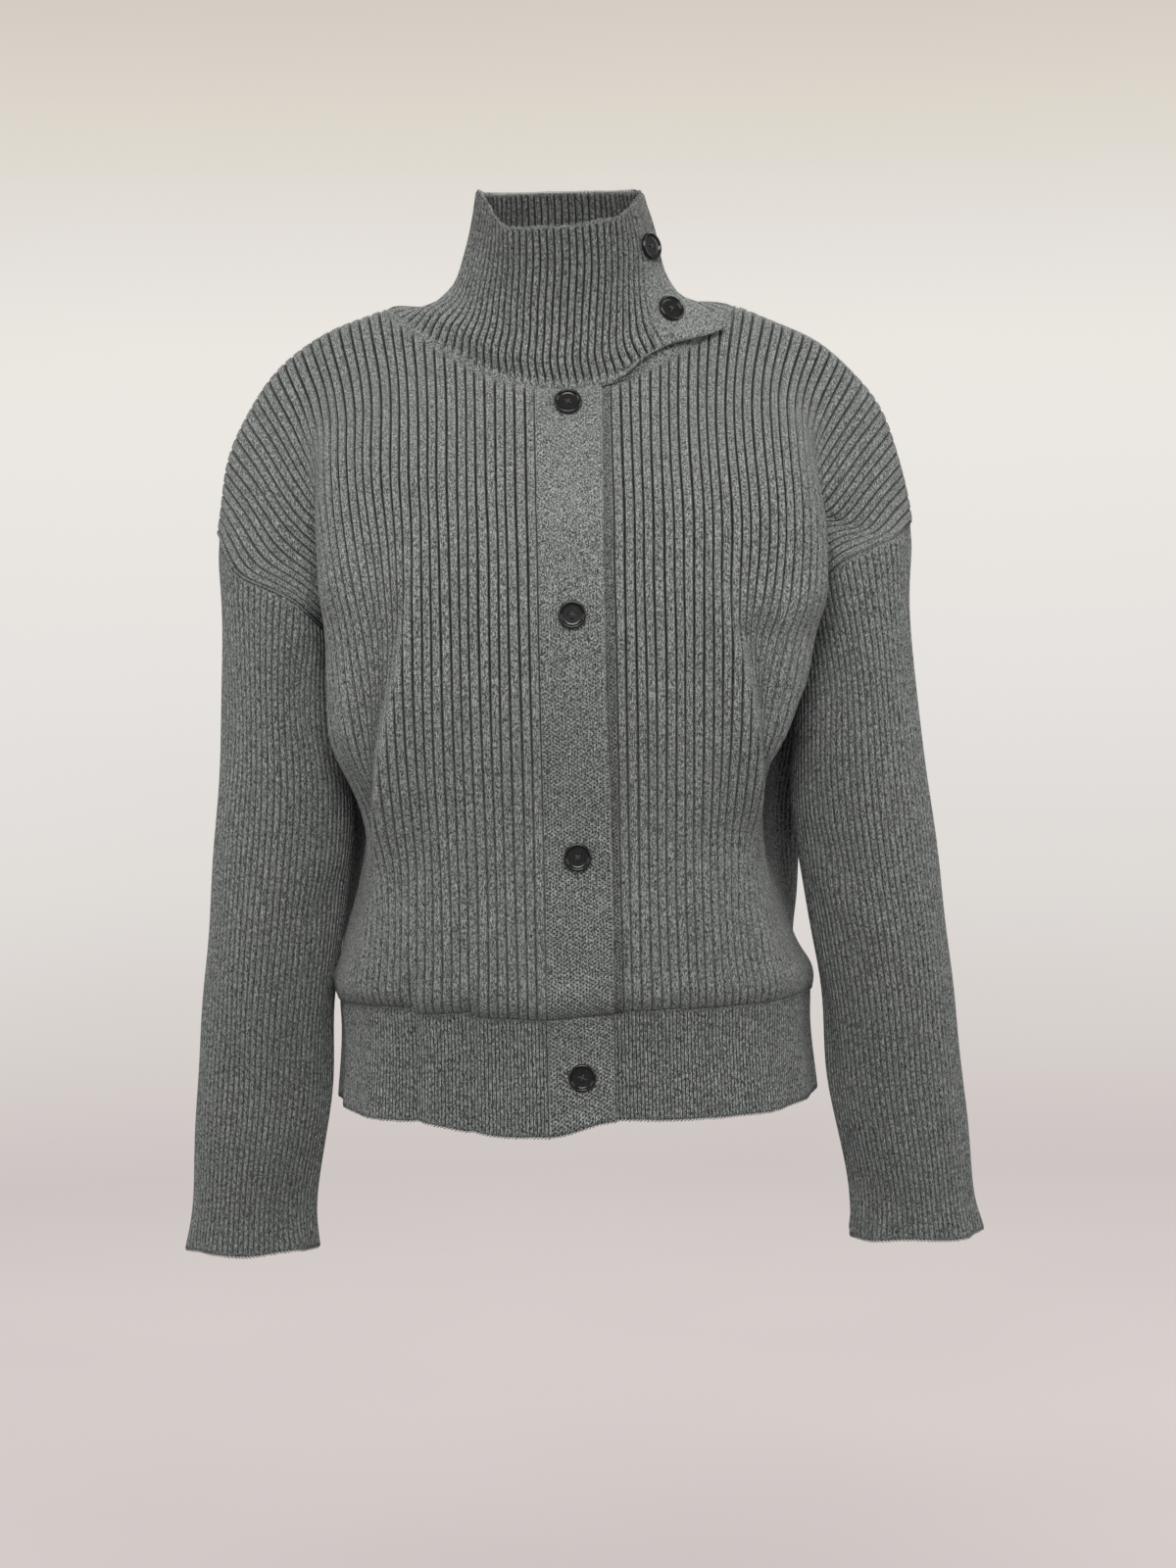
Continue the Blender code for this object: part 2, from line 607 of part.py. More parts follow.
def over(turn, start, end):
    """0 before an angle of start degrees, 1 after end, and a soft step between."""
    return smooth((np.degrees(turn) - start) / (end - start))


def collar_surface(turn, heights):
    """Points of the collar and directions out of it, at angles round the neck from the middle
    of the front (the part under the flap starts a whole turn earlier) and shares of its height."""
    shares = neck_share(turn)
    free = over(turn, 18, 34)
    corner = over(turn, 38, FLAP_END)
    rise = (FLAP_RISE * (1 - corner) - FLAP_OVERHANG * corner) * free
    seam = field(*neck_places(turn, 1.5 * SEAM + rise))
    root = field(*neck_places(turn, 1.5 * SEAM + EDGE_DEPTH + rise))
    rings = [seam, root] + [collar_ring(row, shares) for row in COLLAR_RINGS.values()]
    knots = np.array([0, 0.03] + [row[0] for row in COLLAR_RINGS.values()])
    rings = np.array(rings)
    rings[-1, :, 2] -= FLAP_DROOP * over(turn, 40, FLAP_END)
    rings[-1, :, 2] += FLAP_CREST * over(turn, 2, 28) * (1 - over(turn, 30, 58))
    taut = FLAP_TAUT * over(turn, 18, 50)
    straight = rings[0] + (rings[-1] - rings[0]) * knots[:, None, None]
    rings += (straight - rings) * taut[:, None]
    points = spline(knots, rings.reshape(len(rings), -1), heights).reshape(len(heights), -1, 3)
    sideways = np.gradient(points, axis=1)
    upwards = np.gradient(points, axis=0)
    return points, unit(np.cross(sideways, upwards))


def collar_lift(turn):
    """How far each place round the collar stands off the neckline's own level."""
    return LAYER * (over(turn, 10, 40) + over(turn + 2 * np.pi, 10, 40) - 1)


def collar_stations():
    """Angles of the collar's columns, from its hidden end to its buttoned end."""
    full = 2 * np.pi
    left = np.linspace(LEFT_TURN, QUARTER, NECK_STEPS + 1)[:-1] - full
    back = np.linspace(QUARTER, full - QUARTER, 2 * NECK_STEPS + BAND_STEPS)[:-1] - full
    right = np.linspace(-QUARTER, RIGHT_TURN, NECK_STEPS + 1)[:-1]
    band = np.linspace(RIGHT_TURN, LEFT_TURN, BAND_STEPS + 1)[:-1]
    flap = np.linspace(LEFT_TURN, np.radians(FLAP_END), 2 * NECK_STEPS)
    return np.concatenate([[-full, *left], back, right, band, flap])


def collar(rows=8):
    turn = collar_stations()
    heights = np.insert(np.linspace(0, 1, rows), 1, 0.03)
    points, out = collar_surface(turn, heights)
    points = points + out * collar_lift(turn)[None, :, None]
    return sheet("collar", points, KNIT)


# ---------------------------------------------------------------- buttons

def button_mesh():
    """A round button with a raised rim, a dished middle and four holes, facing +Z."""
    r, t = BUTTON_RADIUS, BUTTON_THICKNESS
    profile = (
        (0.0, 0.60 * t), (0.62 * r, 0.60 * t), (0.74 * r, 0.86 * t), (0.84 * r, 1.0 * t),
        (0.94 * r, 0.88 * t), (1.0 * r, 0.58 * t), (0.93 * r, 0.22 * t), (0.55 * r, 0.0), (0.0, 0.0),
    )
    shape = bmesh.new()
    line = [shape.verts.new((x, 0, z)) for x, z in profile]
    for a, b in zip(line, line[1:]):
        shape.edges.new((a, b))
    mesh = bpy.data.meshes.new("button_profile")
    shape.to_mesh(mesh)
    shape.free()
    turned = bpy.data.objects.new("button_blank", mesh)
    HELPERS.objects.link(turned)
    screw = turned.modifiers.new("turn", "SCREW")
    screw.steps = screw.render_steps = 24
    screw.use_merge_vertices = True
    screw.merge_threshold = 0.00001
    for k in range(4):
        angle = math.radians(45 + 90 * k)
        reach = BUTTON_HOLE_SPACING / math.sqrt(2)
        bpy.ops.mesh.primitive_cylinder_add(
            vertices=8, radius=BUTTON_HOLE_RADIUS, depth=4 * t,
            location=(reach * math.cos(angle), reach * math.sin(angle), 0),
        )
        cutter = bpy.context.object
        cutter.name = f"button_hole_cutter_{k}"
        for holder in list(cutter.users_collection):
            holder.objects.unlink(cutter)
        HELPERS.objects.link(cutter)
        cutter.hide_render = True
        cutter.display_type = "WIRE"
        cut = turned.modifiers.new("hole", "BOOLEAN")
        cut.operation = "DIFFERENCE"
        cut.object = cutter
    bpy.context.view_layer.update()
    evaluated = turned.evaluated_get(bpy.context.evaluated_depsgraph_get())
    finished = bpy.data.meshes.new_from_object(evaluated)
    finished.name = "button"
    bpy.data.objects.remove(turned)
    finished.shade_smooth()
    finished.set_sharp_from_angle(angle=math.radians(40))
    finished.materials.append(HORN)
    return finished


def seat_height(carrier, point, out):
    """How far the highest cloth below a button reaches past point, looking along out."""
    tree = BVHTree.FromObject(carrier, bpy.context.evaluated_depsgraph_get())
    turn = out.to_track_quat("Z", "Y")
    heights = []
    for k in range(12):
        spoke = turn @ Vector((math.cos(k * math.tau / 12), math.sin(k * math.tau / 12), 0))
        for reach in (0.0, 0.6, 0.95):
            start = point + spoke * BUTTON_RADIUS * reach + out * 0.02
            hit = tree.ray_cast(start, -out)[0]
            if hit is not None:
                heights.append((hit - point).dot(out))
    return max(heights)


def place_button(name, mesh, carrier, point, out):
    """A button SEAM clear of the piece that carries it, facing out."""
    made = bpy.data.objects.new(name, mesh)
    GARMENT.objects.link(made)
    point, out = Vector(point), Vector(out)
    made.location = point + out * (seat_height(carrier, point, out) + SEAM)
    made.rotation_mode = "QUATERNION"
    made.rotation_quaternion = out.to_track_quat("Z", "Y")


def along_at_height(across, z):
    """The place along the front where it is at height z."""
    along = np.linspace(0.9, 0, 200)
    heights = field(across, along)[:, 2]
    return float(np.interp(-z, -heights, along))


def buttons(band, hem_end, neck):
    mesh = button_mesh()
    bpy.context.view_layer.update()
    across = np.array([across_at(BAND_MIDDLE)])
    for k, z in enumerate(BUTTON_HEIGHTS):
        along = np.array([along_at_height(across[0], z)])
        point, out = cloth(across, along)[0], outward(across, along)[0]
        place_button(f"button_front_{k + 1}", mesh, band, point, out)
    drop = SECTIONS["front_hem"][2] - HEM_BUTTON_HEIGHT
    point = hem_points(across, np.array([False]), 0.0, [drop])[0, 0]
    place_button("button_front_4", mesh, hem_end, point, (0, -1, 0))
    for k, (degrees, height) in enumerate(COLLAR_BUTTONS):
        turn = np.radians(degrees + np.array([-8, 0, 8]))
        points, out = collar_surface(turn, height + np.array([-0.08, 0, 0.08]))
        place_button(f"button_collar_{k + 1}", mesh, neck, points[1, 1], out[1, 1])


# ---------------------------------------------------------------- build

for old in list(bpy.data.objects):
    bpy.data.objects.remove(old)
GARMENT = fresh_collection("polo_neck_cardigan")
HELPERS = fresh_collection("cutters")
KNIT = material("rib_knit", KNIT_GREY, 0.95)
HORN = material("black_horn", HORN_BLACK, 0.28)

front_panel("front_left", LEFT_TURN, left_front_lift)
front_panel("front_right", RIGHT_TURN, lambda across: 0 * across)
back_panel()
underlap_band()
hem_band()
sleeve("sleeve_left", 1)
sleeve("sleeve_right", -1)
buttons(button_band(), hem_button_band(), collar())
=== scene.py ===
# %% [markdown]
# # Polo neck cardigan in heather grey rib knit
# This script dresses a fixed frame of plain solids with cloth that looks knitted. It works in
# metres: the origin is the middle of the neck base, +Z is up, and the front faces -Y. Each cell
# makes one piece or one finish and prints what it made, so it reads like a lesson.
# The frame comes first, because every piece rides on its body.

# %% Load the frame
import json
import math

import bmesh
import bpy
import numpy as np
from mathutils import Matrix, Vector

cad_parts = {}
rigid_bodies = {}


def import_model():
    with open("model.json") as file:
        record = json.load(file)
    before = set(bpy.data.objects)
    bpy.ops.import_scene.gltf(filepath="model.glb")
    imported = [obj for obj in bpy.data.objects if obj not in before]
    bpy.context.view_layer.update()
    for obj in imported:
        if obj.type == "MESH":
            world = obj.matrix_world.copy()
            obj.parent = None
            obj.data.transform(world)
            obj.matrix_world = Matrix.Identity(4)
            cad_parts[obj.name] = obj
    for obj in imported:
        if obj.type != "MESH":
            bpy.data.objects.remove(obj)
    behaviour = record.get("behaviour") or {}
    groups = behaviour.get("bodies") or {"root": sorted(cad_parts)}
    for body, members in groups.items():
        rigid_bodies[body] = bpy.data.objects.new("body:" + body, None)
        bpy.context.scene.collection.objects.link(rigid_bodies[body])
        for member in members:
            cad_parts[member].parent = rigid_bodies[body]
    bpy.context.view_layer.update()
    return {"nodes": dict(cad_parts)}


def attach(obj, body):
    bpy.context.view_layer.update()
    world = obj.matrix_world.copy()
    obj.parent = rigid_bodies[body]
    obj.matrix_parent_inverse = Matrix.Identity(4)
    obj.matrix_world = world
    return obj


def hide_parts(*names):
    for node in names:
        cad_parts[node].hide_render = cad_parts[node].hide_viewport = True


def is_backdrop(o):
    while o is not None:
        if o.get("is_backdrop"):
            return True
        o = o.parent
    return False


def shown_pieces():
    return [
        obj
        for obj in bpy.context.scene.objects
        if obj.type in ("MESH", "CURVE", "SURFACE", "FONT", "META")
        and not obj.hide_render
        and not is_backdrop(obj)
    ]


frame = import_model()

# %% [markdown]
# ## The worn shape, as a pattern maker would write it down
# Front and back are one ribbed field that runs from the front hem, over the shoulder, to the back
# hem. A place on it is (across, along): across is 0 at the middle and 1 at the side seam or
# armhole, and along is 0 at the front hem, 1 at the shoulder and 2 at the back hem. A sculpted
# mesh could have the same shape, but on a field the ribs follow the cloth by themselves.
# Each row is one section of the wearer's left half, through four places: the middle, the fold
# edge beside the armpit, the valley behind that fold, and the side seam or armhole.

# %% Sizes of the body
RIB_PITCH, RIBS_ACROSS = 0.00725, 44
HALF_WIDTH = RIB_PITCH * RIBS_ACROSS
ALONG_LENGTH = 0.53  # of the front or the back, measured down its middle
BAND_LEFT, BAND_RIGHT = -0.019, 0.028  # the button band's edges
BAND_MIDDLE = (BAND_LEFT + BAND_RIGHT) / 2
STEP_WIDTH = 0.040  # over this width the left front rises to the level of the band
LAYER = 0.0035  # from the middle of one layer of cloth to the next one over it
NECK_ACROSS = 0.385  # where the neckline meets the shoulder
NECK_DROP_FRONT, NECK_DROP_BACK = 0.142, 0.135
NECK_ROUNDNESS, LEFT_NECK_ROUNDNESS = 0.5, 0.38
UNDERARM = 0.46

SECTION_COLUMNS = (
    "along", "mid_y", "mid_z", "fold_x", "fold_y", "fold_z",
    "valley_x", "valley_y", "valley_z", "edge_x", "edge_y", "edge_z", "right_out", "right_up",
)
EDGE_AT = SECTION_COLUMNS.index("edge_x")
SECTIONS = {
    "front_hem": (0.00, -.122, -.489, .150, -.080, -.489, .168, -.040, -.490, .172, .004, -.491, 0, 0),
    "front_hip": (0.07, -.127, -.452, .143, -.086, -.452, .157, -.044, -.452, .159, .004, -.452, .007, 0),
    "front_waist": (0.24, -.119, -.365, .128, -.080, -.364, .137, -.040, -.363, .138, .004, -.363, .010, 0),
    "front_rib": (0.36, -.125, -.302, .157, -.082, -.300, .148, -.042, -.300, .147, .002, -.302, .007, 0),
    "front_bust": (0.46, -.130, -.246, .179, -.078, -.240, .160, -.036, -.246, .155, .000, -.250, .001, 0),
    "front_chest": (0.60, -.124, -.178, .182, -.070, -.168, .174, -.044, -.197, .200, -.060, -.205, 0, 0),
    "front_yoke": (0.76, -.100, -.108, .178, -.058, -.097, .199, -.055, -.132, .236, -.046, -.174, 0, .002),
    "front_neck": (0.88, -.060, -.036, .175, -.030, -.047, .214, -.029, -.095, .247, -.024, -.158, 0, .003),
    "shoulder": (1.00, -.002, .022, .172, .000, -.010, .228, .000, -.063, .2515, .000, -.150, 0, .004),
    "back_neck": (1.12, .062, .005, .175, .028, -.046, .214, .028, -.095, .247, .023, -.158, 0, .003),
    "back_yoke": (1.24, .092, -.066, .178, .052, -.093, .202, .050, -.132, .236, .044, -.174, 0, .002),
    "back_blade": (1.40, .109, -.158, .179, .064, -.168, .182, .048, -.197, .200, .058, -.205, 0, 0),
    "back_chest": (1.54, .110, -.246, .172, .066, -.244, .160, .034, -.247, .155, .000, -.250, .001, 0),
    "back_rib": (1.64, .104, -.302, .167, .067, -.302, .154, .036, -.302, .147, .002, -.302, .007, 0),
    "back_waist": (1.76, .100, -.363, .160, .066, -.363, .1465, .037, -.363, .138, .004, -.363, .010, 0),
    "back_hip": (1.93, .115, -.452, .160, .075, -.452, .162, .042, -.452, .159, .004, -.452, .007, 0),
    "back_hem": (2.00, .117, -.491, .153, .078, -.491, .170, .044, -.491, .172, .004, -.491, 0, 0),
}
LEFT_OWN = {  # where the left half has places of its own
    "front_waist": {"fold_x": .131},
    "front_bust": {"fold_x": .172},
    "front_chest": {"fold_x": .180, "valley_x": .171, "valley_y": -.047, "valley_z": -.158,
                    "edge_x": .197, "edge_z": -.176},
    "front_yoke": {"fold_y": -.060, "valley_x": .184, "valley_y": -.048, "valley_z": -.122, "edge_z": -.159},
    "front_neck": {"valley_x": .209, "valley_z": -.090, "edge_z": -.152},
    "shoulder": {"edge_z": -.149},
    "back_neck": {"edge_z": -.153},
    "back_yoke": {"edge_z": -.162},
    "back_blade": {"valley_z": -.172, "edge_z": -.190},
    "back_rib": {"fold_x": .172},
    "back_waist": {"fold_x": .167},
    "back_hip": {"fold_x": .163},
}
RIGHT_OWN = {  # and the right half
    "front_waist": {"fold_x": .134},
    "front_rib": {"fold_x": .163},
    "front_bust": {"fold_x": .168},
    "front_chest": {"fold_x": .172, "valley_x": .163, "valley_z": -.186, "edge_x": .194, "edge_z": -.197},
    "front_yoke": {"fold_x": .173, "fold_y": -.062, "valley_x": .180, "valley_y": -.048, "valley_z": -.126,
                   "edge_z": -.176},
    "front_neck": {"fold_x": .172, "valley_x": .209, "valley_z": -.092},
}
print("body:", len(SECTIONS), "sections,", 2 * RIBS_ACROSS, "ribs across")

# %% [markdown]
# ## Curves through a table
# A table row is only a few places, so a smooth curve is drawn through them: a natural cubic
# spline, or a monotone cubic where the curve must not swing past its points, as at an armhole.

# %% Curve helpers
def gap_at(knots, at):
    """The gap between knots that each place lies in, its width, and the share of it passed."""
    i = np.clip(np.searchsorted(knots, at, side="right") - 1, 0, len(knots) - 2)
    width = np.diff(knots)[i][:, None]
    return i, width, (at[:, None] - knots[i][:, None]) / width


def spline(knots, values, at):
    """Smooth curve through the values, straight at both ends."""
    gap = np.diff(knots)
    slope = np.diff(values, axis=0) / gap[:, None]
    system, right = np.eye(len(knots)), np.zeros_like(values)
    for i in range(1, len(gap)):
        system[i, i - 1:i + 2] = gap[i - 1], 2 * (gap[i - 1] + gap[i]), gap[i]
        right[i] = 6 * (slope[i] - slope[i - 1])
    bend = np.linalg.solve(system, right)
    i, h, b = gap_at(knots, at)
    a = 1 - b
    return a * values[i] + b * values[i + 1] + ((a**3 - a) * bend[i] + (b**3 - b) * bend[i + 1]) * h * h / 6


def held_spline(knots, values, at):
    """Curve through the values that never swings past them."""
    slope = np.diff(values, axis=0) / np.diff(knots)[:, None]
    product, total = slope[:-1] * slope[1:], slope[:-1] + slope[1:]
    middle = np.divide(2 * product, total, out=np.zeros_like(total), where=product > 0)
    lean = np.concatenate([slope[:1], middle, slope[-1:]])
    i, h, b = gap_at(knots, at)
    return (
        values[i] * (1 + 2 * b) * (1 - b) ** 2 + lean[i] * h * b * (1 - b) ** 2
        + values[i + 1] * b * b * (3 - 2 * b) + lean[i + 1] * h * b * b * (b - 1)
    )


def smooth(x):
    """0 below 0, 1 above 1, and a soft step between."""
    x = np.clip(x, 0, 1)
    return x * x * (3 - 2 * x)


def after(x, start, rise):
    """A soft step up after start."""
    return smooth((x - start) / rise)


def span(x, start, rise, end, fall):
    """A soft step up after start and a soft step down before end."""
    return after(x, start, rise) * smooth((end - x) / fall)


def hump(x, reach):
    """1 where x is 0, falling away to both sides."""
    return np.exp(-((x / reach) ** 2))


def waves(x, rows):
    """A sum of waves, each with a height, a pace and a start."""
    return sum(height * np.sin(pace * x + start) for height, pace, start in rows)


# %% Lines in space
def unit(vectors):
    return vectors / np.maximum(np.linalg.norm(vectors, axis=-1, keepdims=True), 1e-12)


def lengths(points):
    """Distance walked along a polyline at each of its points."""
    return np.concatenate([[0], np.cumsum(np.linalg.norm(np.diff(points, axis=0), axis=1))])


def read_line(walked, points, at):
    """Points of a polyline at these distances along it."""
    return np.stack([np.interp(at, walked, points[:, k]) for k in range(3)], axis=-1)


def along_line(points, shares):
    """Points at these shares of a polyline's length."""
    walked = lengths(points)
    return read_line(walked, points, shares * walked[-1])


# %% [markdown]
# ## The ribbed field
# The sections are sampled into a fine lattice once, and every piece reads its places from there.
# Ribs keep their pitch near the middle and crowd together towards the side, where the waist
# gathers them.

# %% Sampling the sections
LATTICE_ACROSS, LATTICE_ALONG = 161, 241
SECTION_POINTS = 321
EVEN_REACH = 0.13  # rib spacing changes over at least this share of the length
EVEN_FROM, EVEN_SPREAD = 0.14, 0.2  # but not this close to the shoulder
SHOULDER_ALONE = 0.1  # and sections this close to it don't count
RELAX_REACH, RELAX_AT, RELAX_SPREAD = 0.040, 0.46, 0.08  # cloth that turns under the arm bends softly
EDGE_KEPT, EDGE_SPREAD = 0.97, 0.15  # but its edge stays where the table says
CROWD_LIMITS = 0.9, 1.7  # how much closer the ribs may lie than their pitch


def evened(reach, along):
    """The widths of the sections, without their sudden change under the arm."""
    from_shoulder = np.abs(along - 1)
    window = hump(along[:, None] - along, EVEN_REACH) * (from_shoulder > SHOULDER_ALONE)
    soft = window @ reach / window.sum(axis=1, keepdims=True)
    return reach + (soft - reach) * smooth((from_shoulder - EVEN_FROM) / EVEN_SPREAD)[:, None]


def relaxed(lattice, along, shares):
    """The lattice with a softer bend below the armhole."""
    window = hump(along[:, None] - along, RELAX_REACH)
    soft = np.einsum("ij,jkl->ikl", window / window.sum(axis=1, keepdims=True), lattice)
    near = hump(np.abs(along - 1) - RELAX_AT, RELAX_SPREAD)
    inside = smooth((EDGE_KEPT - np.abs(shares)) / EDGE_SPREAD)
    return lattice + (soft - lattice) * (near[:, None] * inside)[..., None]


def half_lines(own, along, right):
    """The middle of each section, and the fold, the valley and the edge of one half."""
    rows = [dict(zip(SECTION_COLUMNS, row)) | own.get(name, {}) for name, row in SECTIONS.items()]
    rows = np.array([list(row.values()) for row in rows])
    inner = spline(rows[:, 0], rows[:, 1:EDGE_AT], along)
    edge = held_spline(rows[:, 0], rows[:, EDGE_AT:], along)
    off = right * np.stack([edge[:, 3], 0 * along, edge[:, 4]], axis=1)
    return inner[:, :2], np.stack([inner[:, 2:5], inner[:, 5:8], edge[:, :3]], axis=1) + off[:, None]


# %% The lattice
def build_lattice():
    """The field sampled finely, as points[along, across]."""
    along, shares = np.linspace(0, 2, LATTICE_ALONG), np.linspace(-1, 1, LATTICE_ACROSS)
    middle, left = half_lines(LEFT_OWN, along, 0)
    right = half_lines(RIGHT_OWN, along, 1)[1] * (-1, 1, 1)
    lines = []
    for r, m, l in zip(right, middle, left):
        places = np.concatenate([r[::-1], [(0, *m)], l])
        knots = lengths(places)
        dense = spline(knots, places, np.linspace(0, knots[-1], SECTION_POINTS))
        walked = lengths(dense)
        lines.append((dense, walked, np.interp(0, dense[:, 0], walked)))
    reach = np.array([(start, walked[-1] - start) for _, walked, start in lines])
    share, half = np.abs(shares), (shares > 0).astype(int)
    rows = []
    for (dense, walked, start), whole, soft in zip(lines, reach, evened(reach, along)):
        crowd = np.clip(HALF_WIDTH / soft[half], *CROWD_LIMITS)
        off = soft[half] * (crowd * share - (crowd - 1) * share**2) + (whole - soft)[half] * share**4
        rows.append(read_line(walked, dense, start + np.sign(shares) * off))
    return relaxed(np.array(rows), along, shares)


LATTICE = build_lattice()
print("lattice:", LATTICE.shape[:2], "places, waist", round(2 * lengths(LATTICE[29])[-1], 3), "m round")


# %% Reading the field
def cell_at(value, low, high, count):
    """The lattice row or column before each value, and the weights of the four round it."""
    at = np.clip((value - low) / (high - low), 0, 1) * (count - 1)
    first = np.minimum(at.astype(int), count - 2)
    x = at - first
    return first, (
        -0.5 * x + x**2 - 0.5 * x**3, 1 - 2.5 * x**2 + 1.5 * x**3,
        0.5 * x + 2 * x**2 - 1.5 * x**3, -0.5 * x**2 + 0.5 * x**3,
    )


def field(across, along):
    """Points of the smooth field, read from the lattice by Catmull-Rom curves."""
    across, along = np.broadcast_arrays(np.asarray(across, float), np.asarray(along, float))
    column, column_weights = cell_at(across, -1, 1, LATTICE_ACROSS)
    row, row_weights = cell_at(along, 0, 2, LATTICE_ALONG)
    found = 0.0
    for i in range(4):
        for j in range(4):
            r, c = np.clip(row + i - 1, 0, LATTICE_ALONG - 1), np.clip(column + j - 1, 0, LATTICE_ACROSS - 1)
            found = found + (row_weights[i] * column_weights[j])[..., None] * LATTICE[r, c]
    return found


def outward(across, along, step=0.004):
    """Directions that point out of the field."""
    sideways = field(np.clip(across + step, -1, 1), along) - field(np.clip(across - step, -1, 1), along)
    lengthways = field(across, np.clip(along + step, 0, 2)) - field(across, np.clip(along - step, 0, 2))
    return unit(np.cross(sideways, lengthways))


# %% Neckline and layers
def neck_scoop(across, roundness):
    return np.clip(1 - (across / NECK_ACROSS) ** 2, 0, 1) ** roundness


def neck_front(across):
    """Where the front neckline lies along the field."""
    roundness = np.where(across > 0, LEFT_NECK_ROUNDNESS, NECK_ROUNDNESS)
    return 1 - NECK_DROP_FRONT * neck_scoop(across, roundness)


def neck_back(across):
    return 1 + NECK_DROP_BACK * neck_scoop(across, NECK_ROUNDNESS)


def left_front_lift(across):
    """The left front lies one layer below the band at its edge, and rises to its level."""
    return -LAYER * (1 - smooth((across * HALF_WIDTH - BAND_RIGHT) / STEP_WIDTH))


print("middle of the front neckline:", field(0, neck_front(0)).round(3))

# %% [markdown]
# ## Folds in the body
# Worn knitwear has a few soft creases, never the same on both sides. Cloth simulation would make
# some, but not these ones, so each is placed along a line of the field, as a trough or, with a
# negative depth, a ridge. A tuck is sharper: under the bust, on each side, the cloth folds over
# itself and the ribs beyond are drawn in under its edge.

# %% Fold table
FOLDS = {  # from across and along, to across and along, half width and depth in metres
    "left_waist": (0.66, 0.43, 0.60, 0.22, .022, .010),
    "right_waist": (-0.62, 0.45, -0.57, 0.20, .022, .011),
    "right_chest": (-0.50, 0.78, -0.60, 0.54, .020, .0020),
    "left_chest": (0.46, 0.76, 0.58, 0.56, .022, .0016),
    "right_collarbone": (-0.36, 0.90, -0.52, 0.74, .016, .0014),
    "left_collarbone": (0.40, 0.90, 0.56, 0.78, .018, .0014),
    "right_hem_tuck": (-0.395, -0.03, -0.385, 0.08, .006, .0042),
    "right_hem_tuck_2": (-0.238, -0.03, -0.234, 0.06, .005, .0030),
    "left_hem_tuck": (0.30, -0.02, 0.31, 0.06, .007, .0020),
    "right_flute": (-0.22, 0.02, -0.20, 0.30, .022, .0022),
    "left_flute": (0.24, 0.00, 0.22, 0.28, .024, .0020),
    "left_flute_2": (0.44, 0.02, 0.40, 0.20, .018, .0024),
    "back_left_waist": (0.60, 1.60, 0.52, 1.84, .020, .0080),
    "back_right_waist": (-0.64, 1.58, -0.55, 1.86, .022, .0070),
    "back_left_ridge": (0.46, 1.54, 0.44, 1.88, .015, -.0040),
    "back_right_ridge": (-0.50, 1.52, -0.42, 1.84, .014, -.0048),
    "back_middle": (0.05, 1.72, -0.03, 2.00, .026, .0030),
    "back_blade_left": (0.50, 1.34, 0.30, 1.56, .024, .0028),
    "back_blade_right": (-0.54, 1.36, -0.34, 1.54, .022, .0024),
    "back_neck_fold": (-0.20, 1.24, 0.22, 1.23, .014, .0016),
    "back_hem_tuck": (0.28, 1.95, 0.27, 2.02, .007, .0030),
}
TUCKS = {  # a fold's four places, then the ridge, the step, how far ribs slide and how flat they lie
    "right_tuck": (-0.375, 0.485, -0.500, 0.235, .0064, .0120, .028, 0.32),
    "left_tuck": (0.395, 0.480, 0.510, 0.250, .0050, .0092, .022, 0.50),
}
TUCK_SOFT, TUCK_SHARP, TUCK_REACH = 0.020, 0.0055, 0.045  # its width inside, its edge, its reach beyond
STEP_START, STEP_RISE = 0.3, 2.2  # the step begins before the edge and is this wide, in edge widths
SLIDE_FULL, SLIDE_FADE = 1.6, 3.0  # ribs slide most this far beyond and come to rest over this, in slides
FLAT_START, FLAT_RISE = 0.004, 0.022  # the ribs lie flat from just inside the tuck outwards
ARM_ACROSS, ARM_ALONG = (0.68, 0.12), (0.40, 0.05)  # over the arm the ribs stand up again
PUSH_SPAN = -0.60, 1.15, 1.35, 0.50  # where along a tuck each of its effects grows and fades
SLIDE_SPAN = -0.85, 1.75, 1.75, 0.70
FLAT_SPAN = -0.70, 0.70, 1.25, 0.35
FIELD_METRES = np.array((0.30, ALONG_LENGTH))  # metres of cloth for each 1 of across and of along
RIPPLE = 0.0009  # how uneven the cloth is between the creases
CALM_PLACE, CALM_REACH, CALM_SHARE = (0.26, 0.90), 0.055, 0.85  # the flap holds the cloth flat here
BLOUSE, BLOUSE_HEIGHT = 0.0042, 0.013  # the body stands out just above the hem band
SEAM_DIP, SEAM_REACH = 0.0016, 0.0035  # cloth sinks this far into a seam, within this distance

print("folds:", len(FOLDS), "placed by hand, and", len(TUCKS), "tucks")


# %% Fold helpers
def crease(row, place, metres):
    """Share of a crease's length at each place, the way off its line, and the line's own run."""
    start, end = np.array(row[:2]) * metres, np.array(row[2:4]) * metres
    run = end - start
    share = (place - start) @ run / (run @ run)
    return share, place - start - share[..., None] * run, run


def folded(folds, place, metres):
    """How far soft folds sink the cloth."""
    sink = 0.0
    for row in folds.values():
        share, off, _ = crease(row, place, metres)
        fade = np.sin(np.pi * np.clip(share, 0, 1)) ** 1.3
        sink = sink + row[5] * fade * np.exp(-(off**2).sum(-1) / row[4] ** 2)
    return sink


